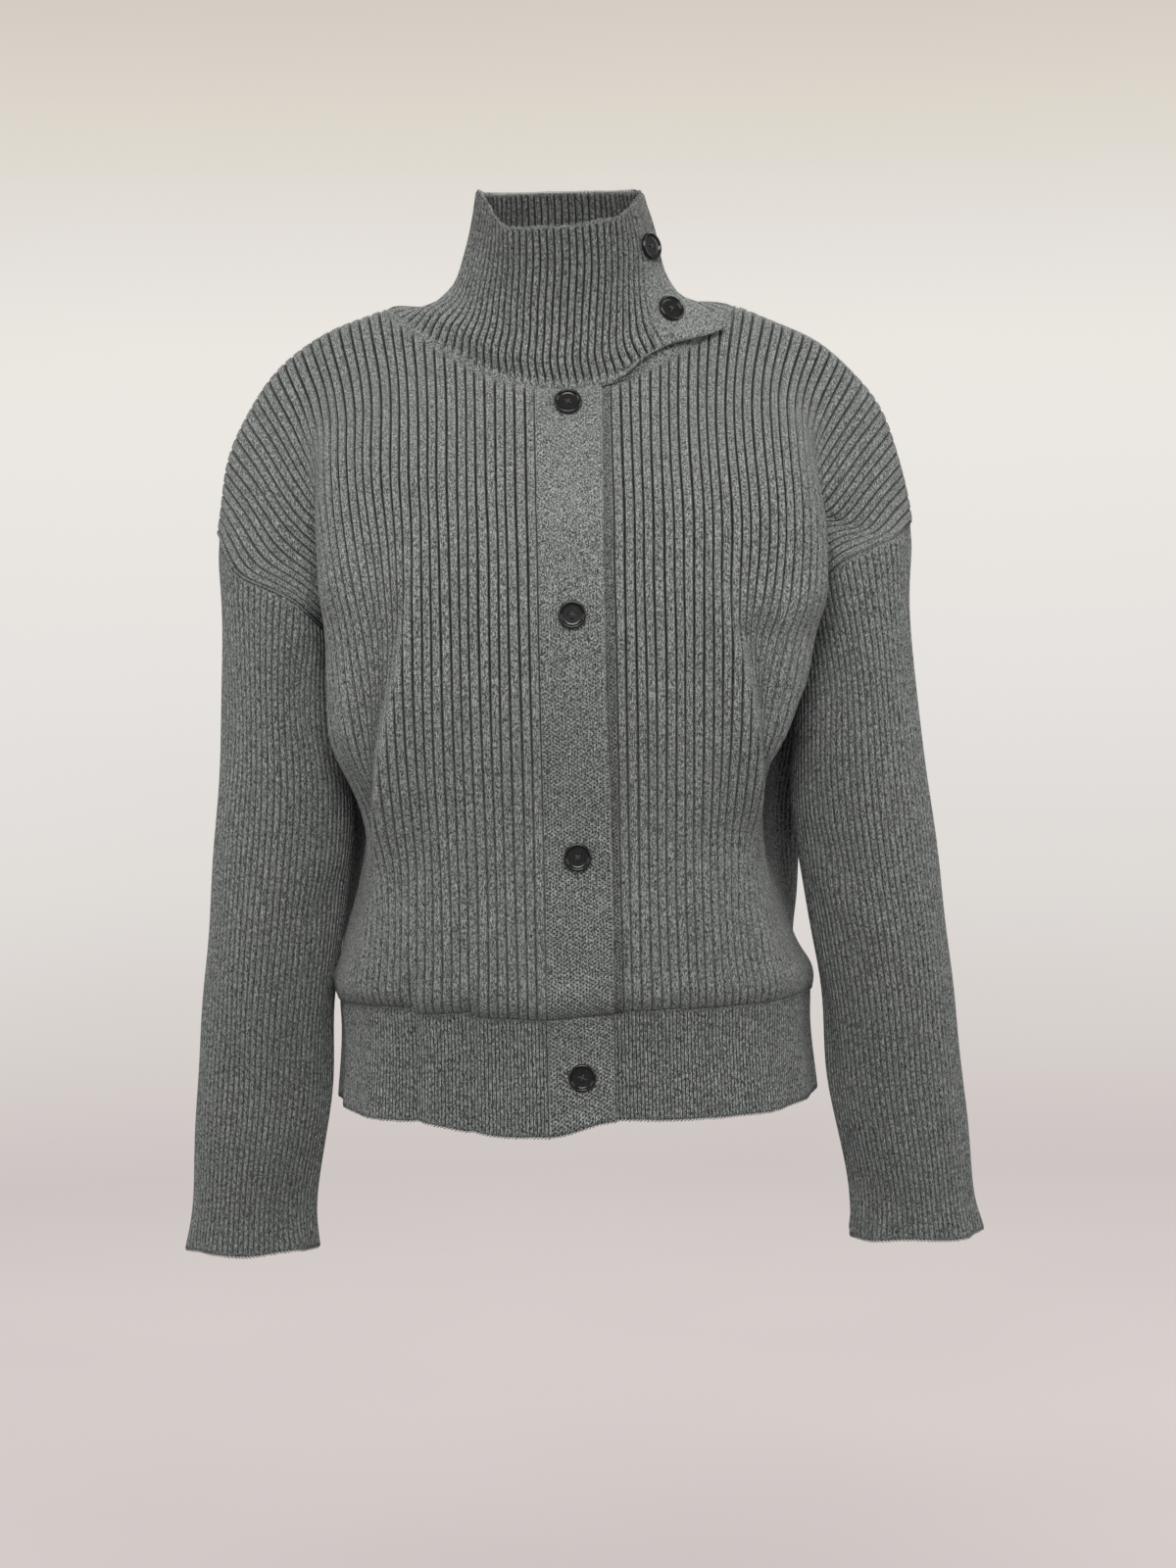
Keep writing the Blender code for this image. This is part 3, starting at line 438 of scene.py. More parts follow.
def tucked(across, along):
    """What the tucks do: push the cloth out, slide its ribs across, and pull them flat."""
    place = np.stack(np.broadcast_arrays(across, along), axis=-1) * FIELD_METRES
    push = slide = flat = 0.0
    for row in TUCKS.values():
        ridge, step, reach, flatness = row[4:]
        share, off, run = crease(row, place, FIELD_METRES)
        outer = np.array((-run[1], run[0])) / np.linalg.norm(run)
        off = off @ outer * np.sign(outer[0] * row[0])
        beyond = smooth((off / TUCK_SHARP + STEP_START) / STEP_RISE) * (1 - smooth(off / TUCK_REACH))
        ridged = ridge * hump(off, np.where(off < 0, TUCK_SOFT, TUCK_SHARP))
        push = push + span(share, *PUSH_SPAN) * (ridged - step * beyond)
        near = smooth(off / reach / SLIDE_FULL) * (1 - smooth((off / reach - SLIDE_FULL) / SLIDE_FADE))
        slide = slide - np.sign(row[0]) * reach / FIELD_METRES[0] * span(share, *SLIDE_SPAN) * near
        flat = flat + flatness * span(share, *FLAT_SPAN) * smooth((off + FLAT_START) / FLAT_RISE)
    over_arm = after(np.abs(across), *ARM_ACROSS) * after(along, *ARM_ALONG)
    return push, slide, flat * (1 - over_arm)


def ripple(u, v):
    """A soft unevenness, from a few waves that don't line up."""
    return RIPPLE * (
        np.sin(61 * u + 9 * v + 1.0) * np.sin(23 * v - 11 * u + 0.4)
        + 0.7 * np.sin(104 * u - 17 * v + 2.2) * np.cos(37 * v + 13 * u)
        + 0.5 * np.sin(47 * u + 71 * v + 0.3) * np.sin(29 * u - 53 * v + 1.9)
    )


def draped(across, along, lift=0.0):
    """Places of the draped body."""
    place = np.stack(np.broadcast_arrays(across, along), axis=-1) * FIELD_METRES
    blouse = BLOUSE * hump(np.minimum(along, 2 - along) * ALONG_LENGTH - BLOUSE_HEIGHT, BLOUSE_HEIGHT)
    off_flap = np.linalg.norm(place - np.array(CALM_PLACE) * FIELD_METRES, axis=-1)
    calm = 1 - CALM_SHARE * smooth(1.5 - off_flap / CALM_REACH)
    push = tucked(across, along)[0] - folded(FOLDS, place, FIELD_METRES)
    push = push + ripple(place[..., 0], place[..., 1])
    return field(across, along) + outward(across, along) * (push * calm + blouse + lift)[..., None]


print("draped middle of the front:", draped(0, 0.5).round(3))

# %% [markdown]
# ## From numbers to a mesh
# A grid of places becomes a mesh in one go with foreach_set, far quicker than face by face. Each
# vertex also carries what the rib maker needs: rib counts ribs across the cloth, plain is 1 where
# the knit is flat, and out is the direction out of the cloth. The UV map counts metres of cloth,
# sideways and along the ribs, so stitches keep their size.

# %% Grid maker
KNIT_GRIDS = {}  # each piece's grid of places and directions, for the loops along its edges


def new_object(name, data):
    made = bpy.data.objects.new(name, data)
    bpy.context.scene.collection.objects.link(made)
    return made


def keep(mesh, name, values):
    """Stores a number or a direction at each vertex."""
    kind, key = ("FLOAT_VECTOR", "vector") if values.shape[-1] == 3 else ("FLOAT", "value")
    layer = mesh.attributes.new(name, kind, "POINT")
    layer.data.foreach_set(key, np.ascontiguousarray(values, np.float32).reshape(-1))


def grid_normals(points, closed=False):
    """Directions out of a grid of places, from its own slopes."""
    around = np.concatenate([points[:, -1:], points, points[:, :1]], axis=1) if closed else points
    sideways = np.gradient(around, axis=1)[:, 1:-1] if closed else np.gradient(around, axis=1)
    return unit(np.cross(sideways, np.gradient(points, axis=0)))


def knit_grid(name, points, rib, plain, metres, closed=False, out=None):
    """A mesh through points[row, column]. closed joins its last column to its first, and metres
    then has one column more than points."""
    rows, columns = points.shape[:2]
    r, c = np.meshgrid(np.arange(rows - 1), np.arange(columns - 1 + closed), indexing="ij")
    corners = (r, c), (r, c + 1), (r + 1, c + 1), (r + 1, c)
    faces = np.stack([i * columns + j % columns for i, j in corners], axis=-1).reshape(-1, 4)
    mesh = bpy.data.meshes.new(name)
    mesh.vertices.add(rows * columns)
    mesh.vertices.foreach_set("co", points.reshape(-1))
    mesh.loops.add(faces.size)
    mesh.loops.foreach_set("vertex_index", faces.reshape(-1))
    mesh.polygons.add(len(faces))
    mesh.polygons.foreach_set("loop_start", np.arange(len(faces)) * 4)
    mesh.update(calc_edges=True)
    KNIT_GRIDS[name] = points, grid_normals(points, closed) if out is None else out
    keep(mesh, "rib", np.broadcast_to(rib, (rows, columns)))
    keep(mesh, "plain", np.broadcast_to(plain, (rows, columns)))
    keep(mesh, "out", KNIT_GRIDS[name][1])
    uv = np.stack([metres[i, j] for i, j in corners], axis=2)
    mesh.uv_layers.new(name="cloth").data.foreach_set("uv", np.ascontiguousarray(uv, np.float32).reshape(-1))
    return new_object(name, mesh)


# %% [markdown]
# ## Ribs, made with Geometry Nodes
# A rib is a raised strip of knit with a narrow valley on each side. A bump map would leave the
# silhouette smooth, so a node tree raises them by rule: it reads how many ribs lie between a
# place and the first one, and pushes the place out by a profile that repeats once a rib. Then it
# gives the cloth its wall: the flipped sheet is extruded inwards and joined to the outer one.
# Its sizes are named inputs, so all panels share it. A small class makes node maths read like
# sums: adding or multiplying two wires adds the Math node that does it.

# %% Node helpers
class Wire:
    """A value inside a node tree."""

    def __init__(self, tree, socket):
        self.tree, self.socket = tree, socket

    def __getitem__(self, output):
        """Another output of the same node."""
        return Wire(self.tree, self.socket.node.outputs[output])

    def maths(self, operation, *others):
        return add(self.tree, "ShaderNodeMath", enumerate((self, *others)), operation=operation)

    def vector(self, operation, *others):
        sockets = (0, 3) if operation == "SCALE" else (0, 1)
        return add(self.tree, "ShaderNodeVectorMath", zip(sockets, (self, *others)), operation=operation)

    def remap(self, low, high, to_low=0.0, to_high=1.0, kind="LINEAR"):
        numbers = enumerate((self, low, high, to_low, to_high))
        return add(self.tree, "ShaderNodeMapRange", numbers, interpolation_type=kind)

    def __add__(self, other):
        return self.maths("ADD", other)

    def __sub__(self, other):
        return self.maths("SUBTRACT", other)

    def __rsub__(self, other):
        return add(self.tree, "ShaderNodeMath", {0: other, 1: self}, operation="SUBTRACT")

    def __mul__(self, other):
        return self.maths("MULTIPLY", other)

    def __truediv__(self, other):
        return self.maths("DIVIDE", other)

    def __pow__(self, other):
        return self.maths("POWER", other)


def feed(tree, socket, value):
    """Links one wire or several to a socket, or sets a plain value on it."""
    if isinstance(value, (Wire, list)):
        for wire in value if isinstance(value, list) else [value]:
            tree.links.new(wire.socket, socket)
    else:
        socket.default_value = value


def add(tree, kind, inputs=(), output=0, **settings):
    """Adds a node, feeds its inputs by name or number, and gives back one of its outputs."""
    made = tree.nodes.new(kind)
    for key, value in settings.items():
        setattr(made, key, value)
    for label, value in dict(inputs).items():
        feed(tree, made.inputs[label], value)
    return Wire(tree, made.outputs[output])


# %% Groups and trees
def new_group(name, kind, inputs, outputs):
    """A node group. An input is its first value or, where it has none, its kind of socket."""
    tree = bpy.data.node_groups.new(name, kind)
    for label, value in inputs.items():
        sort = {float: "Float", int: "Int", tuple: "Color"}.get(type(value), value)
        socket = tree.interface.new_socket(label, in_out="INPUT", socket_type="NodeSocket" + sort)
        if value != sort:
            socket.default_value = value
    for label, sort in outputs.items():
        tree.interface.new_socket(label, in_out="OUTPUT", socket_type="NodeSocket" + sort)
    given, result = tree.nodes.new("NodeGroupInput"), tree.nodes.new("NodeGroupOutput")
    return tree, {label: Wire(tree, given.outputs[label]) for label in inputs}, result.inputs


def new_tree(name, sizes):
    inputs = {"Geometry": "Geometry", **sizes, "Material": "Material"}
    return new_group(name, "GeometryNodeTree", inputs, {"Geometry": "Geometry"})


def finish_tree(tree, size, result, geometry):
    """Every tree ends in Realize Instances and Set Material."""
    real = add(tree, "GeometryNodeRealizeInstances", {"Geometry": geometry})
    coat = add(tree, "GeometryNodeSetMaterial", {"Geometry": real, "Material": size["Material"]})
    feed(tree, result["Geometry"], coat)
    print(tree.name, "tree:", len(tree.nodes), "nodes")
    return tree


def direction(tree):
    """The direction out of the cloth that each vertex carries."""
    kind = "GeometryNodeInputNamedAttribute"
    return add(tree, kind, {"Name": "out"}, "Attribute", data_type="FLOAT_VECTOR")


# %% From a tree to a mesh
def triangles(piece):
    piece.data.calc_loop_triangles()
    return len(piece.data.loop_triangles)


def evaluated_mesh(piece):
    bpy.context.view_layer.update()
    return bpy.data.meshes.new_from_object(piece.evaluated_get(bpy.context.evaluated_depsgraph_get()))


def grow(piece, tree, **sizes):
    """Runs a tree on a piece and keeps the result as its plain mesh."""
    grower = piece.modifiers.new(tree.name, "NODES")
    grower.node_group = tree
    for socket in tree.interface.items_tree:
        label = socket.name.lower().replace(" ", "_")
        if socket.in_out == "INPUT" and label in sizes:
            grower[socket.identifier] = sizes[label]
    old, made = piece.data, evaluated_mesh(piece)
    made.name = piece.name
    piece.modifiers.clear()
    piece.data = made
    bpy.data.meshes.remove(old)
    made.shade_smooth()
    print(piece.name, triangles(piece), "triangles")
    return piece


# %% The rib tree
def rib_tree():
    tree, size, result = new_tree("rib_knit_wall", {
        "Rib height": 0.0017, "Valley floor": 0.07, "Valley top": 0.17, "Outer level": 0.0013, "Wall": 0.0014,
    })
    rib, plain = (
        add(tree, "GeometryNodeInputNamedAttribute", {"Name": name}, "Attribute", data_type="FLOAT")
        for name in ("rib", "plain")
    )
    out = direction(tree)
    off_valley = (rib - rib.maths("ROUND")).maths("ABSOLUTE")
    raised = off_valley.remap(size["Valley floor"], size["Valley top"], kind="SMOOTHSTEP")
    level = size["Outer level"] - (1.0 - raised) * (1.0 - plain) * size["Rib height"]
    lifted = {"Geometry": size["Geometry"], "Offset": out.vector("SCALE", level)}
    outer = add(tree, "GeometryNodeSetPosition", lifted)
    flipped = add(tree, "GeometryNodeFlipFaces", {"Mesh": outer})
    inner = add(tree, "GeometryNodeExtrudeMesh", {
        "Mesh": flipped, "Individual": False, "Offset": out, "Offset Scale": size["Wall"] * -1.0,
    }, mode="FACES")
    both = add(tree, "GeometryNodeJoinGeometry", {"Geometry": [inner, outer]})
    weld = add(tree, "GeometryNodeMergeByDistance", {"Geometry": both, "Distance": 0.00001})
    return finish_tree(tree, size, result, weld)


RIB_TREE = rib_tree()

# %% [markdown]
# ## What the yarn looks like
# The yarn is heather: light and dark grey wool fibres spun together, with a slight green cast.
# Two node groups hold what every knit shares. The first draws the stitches from the UV map in
# metres: each is a V of two slanted legs in a column, which a knitter calls a wale. The second
# mixes the fibres' greys from noise in Object coordinates, so the flecks have their real size
# everywhere, where an image would stretch.

# %% Shader group: knit stitches
# Each gap between stitches gets a dark dot: painted shade, for the little light that reaches into it.
DOT_SIZE = 0.36, 0.21  # of a gap between stitches, in wales and in courses
STRAY_SCALE = 420.0  # how quickly the yarn's unevenness changes, for each metre


def noise(vector, scale, detail=2.0, roughness=0.5):
    numbers = {"Vector": vector, "Scale": scale, "Detail": detail, "Roughness": roughness}
    return add(vector.tree, "ShaderNodeTexNoise", numbers)


def mix_colour(tree, share, a, b, blend="MIX"):
    return add(tree, "ShaderNodeMix", {0: share, 6: a, 7: b}, 2, data_type="RGBA", blend_type=blend)


def stitch_group():
    group, size, result = new_group("knit_stitches", "ShaderNodeTree", {
        "Place": "Vector", "Wale width": 0.0024, "Course height": 0.0016, "Unevenness": 0.22, "Stagger": 0.0,
    }, {"Height": "Float", "Shade": "Float", "Dot": "Float"})
    cloth = add(group, "ShaderNodeSeparateXYZ", {0: size["Place"]})
    stray = (noise(size["Place"], STRAY_SCALE) - 0.5) * size["Unevenness"]
    wale = cloth["X"] / size["Wale width"] + 0.5
    sideways = (wale + stray).maths("FRACT") - 0.5
    odd = (wale.maths("FLOOR") * 0.5).maths("FRACT") * 2.0
    course = cloth["Y"] / size["Course height"] + odd * size["Stagger"]
    off_middle = sideways.maths("ABSOLUTE") * 2.0
    slanted = (course + stray * 1.5 + off_middle * 0.5).maths("FRACT")
    leg = (off_middle * math.pi).maths("SINE") ** 0.7
    bead = (slanted * math.pi).maths("SINE") ** 0.6
    height = leg * (bead * 0.55 + 0.45)
    upwards = (course + stray).maths("FRACT") - 0.5
    dot = (sideways / DOT_SIZE[0]) ** 2.0 + (upwards / DOT_SIZE[1]) ** 2.0
    # Shade is painted shade: darker where the stitch lies low, between its legs and between stitches. Dot is
    # the painted shade in the gap between stitches.
    feed(group, result["Height"], height)
    feed(group, result["Shade"], height * 0.88 + 0.12)
    feed(group, result["Dot"], dot.remap(0.2, 1.6, 1.0, 0.0, "SMOOTHSTEP"))
    print("stitch group:", len(group.nodes), "nodes")
    return group


STITCHES = stitch_group()

# %% Shader group: heather wool
# The loops' light grey is darker than the cloth's: painted shade along the seams they lie in.
DARK_WOOL, LIGHT_WOOL, SHADED_LOOP_WOOL = (0.035, 0.039, 0.0375), (0.485, 0.509, 0.496), (0.34, 0.355, 0.345)
FLECK_MIDDLE = 0.52  # the noise's value where the yarn turns from dark to light
CLOUD_TINT = (0.78, 0.86, 0.84, 1.0)


def heather_group():
    group, size, result = new_group("heather_wool", "ShaderNodeTree", {
        "Place": "Vector", "Dark": DARK_WOOL + (1.0,), "Light": SHADED_LOOP_WOOL + (1.0,),
        "Fleck size": 0.0013, "Contrast": 0.100,
    }, {"Colour": "Color", "Fibre": "Float"})
    scaled = size["Place"].vector("SCALE", size["Fleck size"] ** -1.0)
    fleck = noise(scaled.vector("MULTIPLY", (1.2, 1.2, 0.62)), 1.0, 3.0, 0.62)
    fibre = noise(scaled.vector("MULTIPLY", (2.6, 2.6, 0.8)), 1.0, 2.0, 0.6)
    low, high = size["Contrast"] * -1.0 + FLECK_MIDDLE, size["Contrast"] + FLECK_MIDDLE
    yarn = mix_colour(group, (fibre * 0.45 + fleck * 0.55).remap(low, high), size["Dark"], size["Light"])
    cloud = noise(size["Place"], 22.0).remap(0.35, 0.65) * 0.30
    feed(group, result["Colour"], mix_colour(group, cloud, yarn, CLOUD_TINT, "MULTIPLY"))
    feed(group, result["Fibre"], fibre)
    print("heather group:", len(group.nodes), "nodes")
    return group


HEATHER = heather_group()

# %% [markdown]
# ## The knits
# Every knit is the same yarn with other stitch sizes. Each knit's brightness scales the yarn's greys:
# the lower brightness of the sleeves, hem and collar is painted shade, for parts that get less light,
# and most knits also grow darker towards one end, as painted shade. A rib's valley is darker than
# its top even in soft light, because little light reaches the loops at its bottom, so the colour takes
# a mask of painted shade from the rib count that made the relief. Wool has a faint bright haze at
# grazing angles from its loose fibres, which is what the Principled shader's sheen is for.

# %% Material helpers
WOOL = {"Roughness": 0.92, "Sheen Weight": 0.16, "Sheen Roughness": 0.5, "Specular IOR Level": 0.25}
STITCH_DEPTH = 0.00055
STRAY = 0.05  # how far a valley strays from stitch to stitch, in ribs


def new_material(name, settings):
    """A material with its shader's inputs, and the place on the object to paint it by."""
    made = bpy.data.materials.new(name)
    made.use_nodes = True
    look = made.node_tree.nodes["Principled BSDF"].inputs
    for label, value in settings.items():
        look[label].default_value = value
    return made, made.node_tree, look, add(made.node_tree, "ShaderNodeTexCoord", output="Object")


def bumped(tree, height, strength, depth):
    return add(tree, "ShaderNodeBump", {"Height": height, "Strength": strength, "Distance": depth})


def grey_of(tree, shade):
    return add(tree, "ShaderNodeCombineColor", dict.fromkeys(range(3), shade))


# %% One knit
def knit_material(name, rib_pitch, wales, course, valley=(0.075, 0.160), valley_dark=1.0, stitch_shade=0.72,
                  brightness=1.0, fleck=0.0013, contrast=0.090, split=0.0, dim=(0.0, 1.0, 0.0), dots=0.0,
                  stagger=0.0):
    """A knit with this many wales in each rib. rib_pitch is their whole width in metres. From
    dim[0] to dim[1] metres along it grows darker by a share dim[2], painted shade for the end that
    gets less light, and its dots, painted shade in the gaps between stitches, grow clearer."""
    made, tree, look, place = new_material(name, WOOL)
    uv = add(tree, "ShaderNodeUVMap", uv_map="cloth")
    stitches = add(tree, "ShaderNodeGroup", node_tree=STITCHES, inputs={
        "Place": uv, "Wale width": rib_pitch / wales, "Course height": course, "Stagger": stagger,
    })
    dark, light = (tuple(brightness * v for v in grey) + (1.0,) for grey in (DARK_WOOL, LIGHT_WOOL))
    wool = add(tree, "ShaderNodeGroup", node_tree=HEATHER, inputs={
        "Place": place, "Dark": dark, "Light": light, "Fleck size": fleck, "Contrast": contrast,
    })
    cloth = add(tree, "ShaderNodeSeparateXYZ", {0: uv})
    rib = (noise(uv, STRAY_SCALE) - 0.5) * STRAY + cloth["X"] / rib_pitch
    off_valley = (rib - rib.maths("ROUND")).maths("ABSOLUTE")
    plain = add(tree, "ShaderNodeAttribute", output="Fac", attribute_name="plain")
    uneven = noise(place, 150.0).remap(0.35, 0.55, 0.85, 1.0)
    # Painted shade: the rib's valley is darker because little light reaches it, the groove between a rib's
    # two wales is a little darker, and the knit grows darker towards one end.
    sunk = off_valley.remap(*valley, 1.0, 0.0, "SMOOTHSTEP") * (1.0 - plain) * uneven
    middle = off_valley.remap(0.40, 0.5, kind="SMOOTHSTEP")
    dimmed = cloth["Y"].remap(dim[0], dim[1])
    shade = (stitches["Shade"] * stitch_shade + (1.0 - stitch_shade)) * (1.0 - sunk * valley_dark)
    shade = shade * (1.0 - middle * split) * (1.0 - dimmed * dim[2])
    # The dots are painted shade in the gaps between stitches.
    if dots:
        shade = shade * (1.0 - (dimmed * 0.6 + 0.4) * stitches["Dot"] * dots)
    feed(tree, look["Base Color"], mix_colour(tree, 1.0, wool["Colour"], grey_of(tree, shade), "MULTIPLY"))
    feed(tree, look["Normal"], bumped(tree, wool["Fibre"] * 0.35 + stitches["Height"], 0.8, STITCH_DEPTH))
    return made


# %% The garment's knits
COLLAR_RIBS, SLEEVE_RIBS = 90, 72  # in one turn of the collar, and round a sleeve
COLLAR_PITCH, SLEEVE_PITCH, HEM_PITCH, PLAIN_WALE = 0.0052, 0.0047, 0.0026, 0.0022
# The sleeves', hem's and collar's lower brightness is painted shade, and so is the darkening that dim gives
# towards one end.
BODY_KNIT = knit_material(
    "body_rib_knit", RIB_PITCH, 3, 0.0016, brightness=0.97, split=0.25, dim=(0.26, 0.10, 0.14),
)
COLLAR_KNIT = knit_material(
    "collar_rib_knit", COLLAR_PITCH, 3, 0.0015, valley=(0.075, 0.21), brightness=0.95, dim=(0.03, 0.10, 0.36),
)
SLEEVE_KNIT = knit_material(
    "sleeve_rib_knit", SLEEVE_PITCH, 3, 0.0015, valley=(0.06, 0.21), valley_dark=0.74, brightness=0.90,
    dim=(-0.08, -0.35, 0.10),
)
HEM_KNIT = knit_material(
    "hem_rib_knit", HEM_PITCH, 1, 0.0014, valley=(0.05, 0.33), stitch_shade=0.85, brightness=0.92,
)
# The underlap's knit is the plain knit painted darker: painted shade for the strip beside the band's free
# edge.
PLAIN_KNIT, SHADED_KNIT = (
    knit_material(
        name, PLAIN_WALE, 1, 0.0027, valley_dark=0.0, stitch_shade=0.45, brightness=brightness, fleck=0.0011,
        contrast=0.075, dim=(0.36, 0.14, 0.08), dots=0.95, stagger=0.5,
    )
    for name, brightness in (("plain_band_knit", 0.90), ("underlap_knit", 0.60))
)
print("knits:", [material.name for material in bpy.data.materials if material.name.endswith("knit")])

# %% [markdown]
# ## The two fronts and the back
# A front runs from the button band to the side seam and the armhole. Its columns stand where the
# rib profile turns, so few faces give a crisp rib, and its rows lie closer together near the
# seams, where the cloth bends most. The ribs fade before each seam, as they do where knit is
# linked to knit, and the cloth sinks into the seam.

# %% Panel helpers
SEAM_CLEAR = 0.00015  # half of the gap between two pieces at a seam
SIDE_CLEAR, HEM_CLEAR = 1 - SEAM_CLEAR / HALF_WIDTH, SEAM_CLEAR / ALONG_LENGTH
RIB_WAVER = 0.05  # how far a rib strays sideways, in ribs
LEAST_STEP = 0.03  # between an edge and the first station beside it, in ribs
SEAM_RISE = np.array((  # how much higher than level the hem seam lies at each x
    (-.171, .0055), (-.150, .0060), (-.130, .0065), (-.1155, .0060), (-.1110, .0018), (-.090, .0030),
    (-.0750, .0042), (-.0705, .0008), (-.050, -.0010), (-.022, -.0025), (.000, -.0005), (.022, .0015),
    (.055, .0030), (.0730, .0040), (.0770, .0025), (.105, .0030), (.135, .0035), (.171, .0055),
)).T
SEAM_RISE_REACH = 0.11  # the body takes up the hem seam's rise over this height
SIDE_X, SIDE_BLEND = 0.180, 0.12  # the back takes the front's rise near this side seam
BACK_RISE = (0.003, 26, 0.6), (0.0015, 61, 0.0)  # elsewhere the back's hem seam has these waves


def hem_along(back):
    return np.where(back, 2.0, 0.0)


def seam_rise(across, back):
    x = field(across, hem_along(back))[..., 0]
    blend = smooth((1 - np.abs(across)) / SIDE_BLEND)
    behind = waves(x, BACK_RISE) * blend + np.interp(np.sign(across) * SIDE_X, *SEAM_RISE) * (1 - blend)
    return np.where(back, behind, np.interp(x, *SEAM_RISE))


def graded(count, bend=0.6):
    """Shares from 0 to 1 that lie closer together at both ends."""
    x = np.linspace(0, 1, count)
    return x - bend * np.sin(2 * np.pi * x) / (2 * np.pi)


def rib_stations(first, last, phases):
    """Rib counts from first to last, with a station at each of these phases of every rib."""
    inside = (np.arange(math.floor(first), math.ceil(last) + 1)[:, None] + phases).reshape(-1)
    inside = inside[(inside > first + LEAST_STEP) & (inside < last - LEAST_STEP)]
    return np.concatenate([[first], inside, [last]])


def waver(rib, along):
    """How far each rib strays sideways, in ribs."""
    return RIB_WAVER * waves(along, ((1, 5.1, 1.7 * rib), (0.6, 13.3, 1 - 0.9 * rib)))


# %% Seams of a panel
def body_places(across, along, lift):
    """Places of the draped body above its uneven hem seam."""
    across, along = np.broadcast_arrays(across, along)
    points = draped(across, along, lift)
    from_hem = np.minimum(along, 2 - along) * ALONG_LENGTH
    points[..., 2] += seam_rise(across, along > 1) * (1 - smooth(from_hem / SEAM_RISE_REACH))
    return points


def seam_sink(seams):
    """How far the cloth sinks at these distances from its seams."""
    return SEAM_DIP * hump(np.minimum.reduce(seams), SEAM_REACH)


def rib_fade(seams, reaches):
    """1 at a seam and 0 beyond its reach."""
    return np.maximum.reduce([1 - smooth(d / reach) for d, reach in zip(seams, reaches)])


def along_ribs(rib, pitch, up):
    """The UV map of a knit: metres across its ribs and up them."""
    return np.stack(np.broadcast_arrays(rib * pitch, up), axis=-1)


# %% Body panels
FRONT_ROWS, BACK_ROWS = 76, 70
FRONT_PHASES = (0.0, .08, .17, .34, .66, .83, .92)
BACK_PHASES = (0.0, .10, .19, .50, .81, .90)
SEAM_FADES = 0.0030, 0.0040, 0.0020  # the ribs fade over this much at the hem, the neckline and the side
LOW_FLAT, LOW_BELOW, LOW_SPREAD = 0.40, 0.52, 0.35  # the ribs lie this much flatter low on the body
ARM_FLAT, ARM_FROM, ARM_OVER = 0.22, (0.60, 0.15), (0.55, 0.10)  # and this much over the arm
ARMHOLE_PROUD, PROUD_FROM = 0.01, (0.47, 0.05)  # the armhole's edge isn't drawn in
SIDE_CROWD = 0.8  # ribs crowd at the side, so a share of the width is less cloth there


def softened(across, along):
    """The ribs of the lower body and over the arm are stretched flatter than those of the chest."""
    over_arm = ARM_FLAT * after(np.abs(across), *ARM_FROM) * after(along, *ARM_OVER)
    return LOW_FLAT * smooth((LOW_BELOW - along) / LOW_SPREAD) + over_arm


def body_panel(name, rib, across, ends, rows, top, lift=None, **sizes):
    """A front or the back. Its ribs run between these two ends of the field, and its neckline and
    shoulder lie at top."""
    start, end = ends
    along = start + (end - start) * graded(rows)[:, None]
    rib = np.broadcast_to(rib, along.shape)
    inner = np.minimum(1, np.minimum(rib - rib.min(), rib.max() - rib) / 2)
    side = np.sign(across[-1] - across[0]) * np.sign(rib[0, -1] - rib[0, 0])
    slope = np.gradient(top * ALONG_LENGTH) / np.maximum(np.abs(np.gradient(across * HALF_WIDTH)), 1e-6)
    across = across + side * inner * waver(rib, along) / RIBS_ACROSS
    across = np.clip(across, -SIDE_CLEAR, SIDE_CLEAR)
    across = across + tucked(across, along)[1]
    low = np.minimum(along, 2 - along)
    seams = (
        low * ALONG_LENGTH, np.abs(top - along) * ALONG_LENGTH / np.sqrt(1 + slope**2),
        (1 - np.abs(across)) * HALF_WIDTH * SIDE_CROWD + ARMHOLE_PROUD * after(low, *PROUD_FROM),
    )
    points = body_places(across, along, (lift(across) if lift else 0.0) - seam_sink(seams))
    flat = np.maximum(softened(across, low), tucked(across, along)[2])
    plain = np.maximum(rib_fade(seams, SEAM_FADES), flat)
    piece = knit_grid(name, points, rib, plain, along_ribs(rib, RIB_PITCH, along * ALONG_LENGTH))
    return grow(piece, RIB_TREE, rib_height=0.0019, material=BODY_KNIT, **sizes)


# %% Fronts and back
def front_panel(name, side, band_edge, lift=None):
    first = abs(band_edge) / RIB_PITCH
    rib = rib_stations(0, RIBS_ACROSS - first, FRONT_PHASES)[::side]
    across = side * (rib + first) / RIBS_ACROSS
    top = neck_front(across)
    return body_panel(name, rib, across, (HEM_CLEAR, top), FRONT_ROWS, top, lift)


front_left = front_panel("front_left_cloth", 1, BAND_RIGHT, left_front_lift)
front_right = front_panel("front_right_cloth", -1, BAND_LEFT)
back_rib = rib_stations(0.5 - RIBS_ACROSS, 0.5 + RIBS_ACROSS, BACK_PHASES)
back_across = (back_rib - 0.5) / RIBS_ACROSS
back_top = neck_back(back_across)
back = body_panel(
    "back_cloth", back_rib, back_across * SIDE_CLEAR, (back_top + HEM_CLEAR, 2 - HEM_CLEAR), BACK_ROWS,
    back_top, valley_floor=0.08, valley_top=0.19,
)

# %% [markdown]
# ## The plain bands
# The button band is knitted plain and double, so it lies flat and is a little thicker than the
# ribs. It belongs to the right front and covers the left front's own band, one layer further in,
# which shows as a strip beside its free edge; that strip's knit is painted darker, as painted shade.
# Both use the rib tree with plain set to 1, which gives them their wall without a rib.

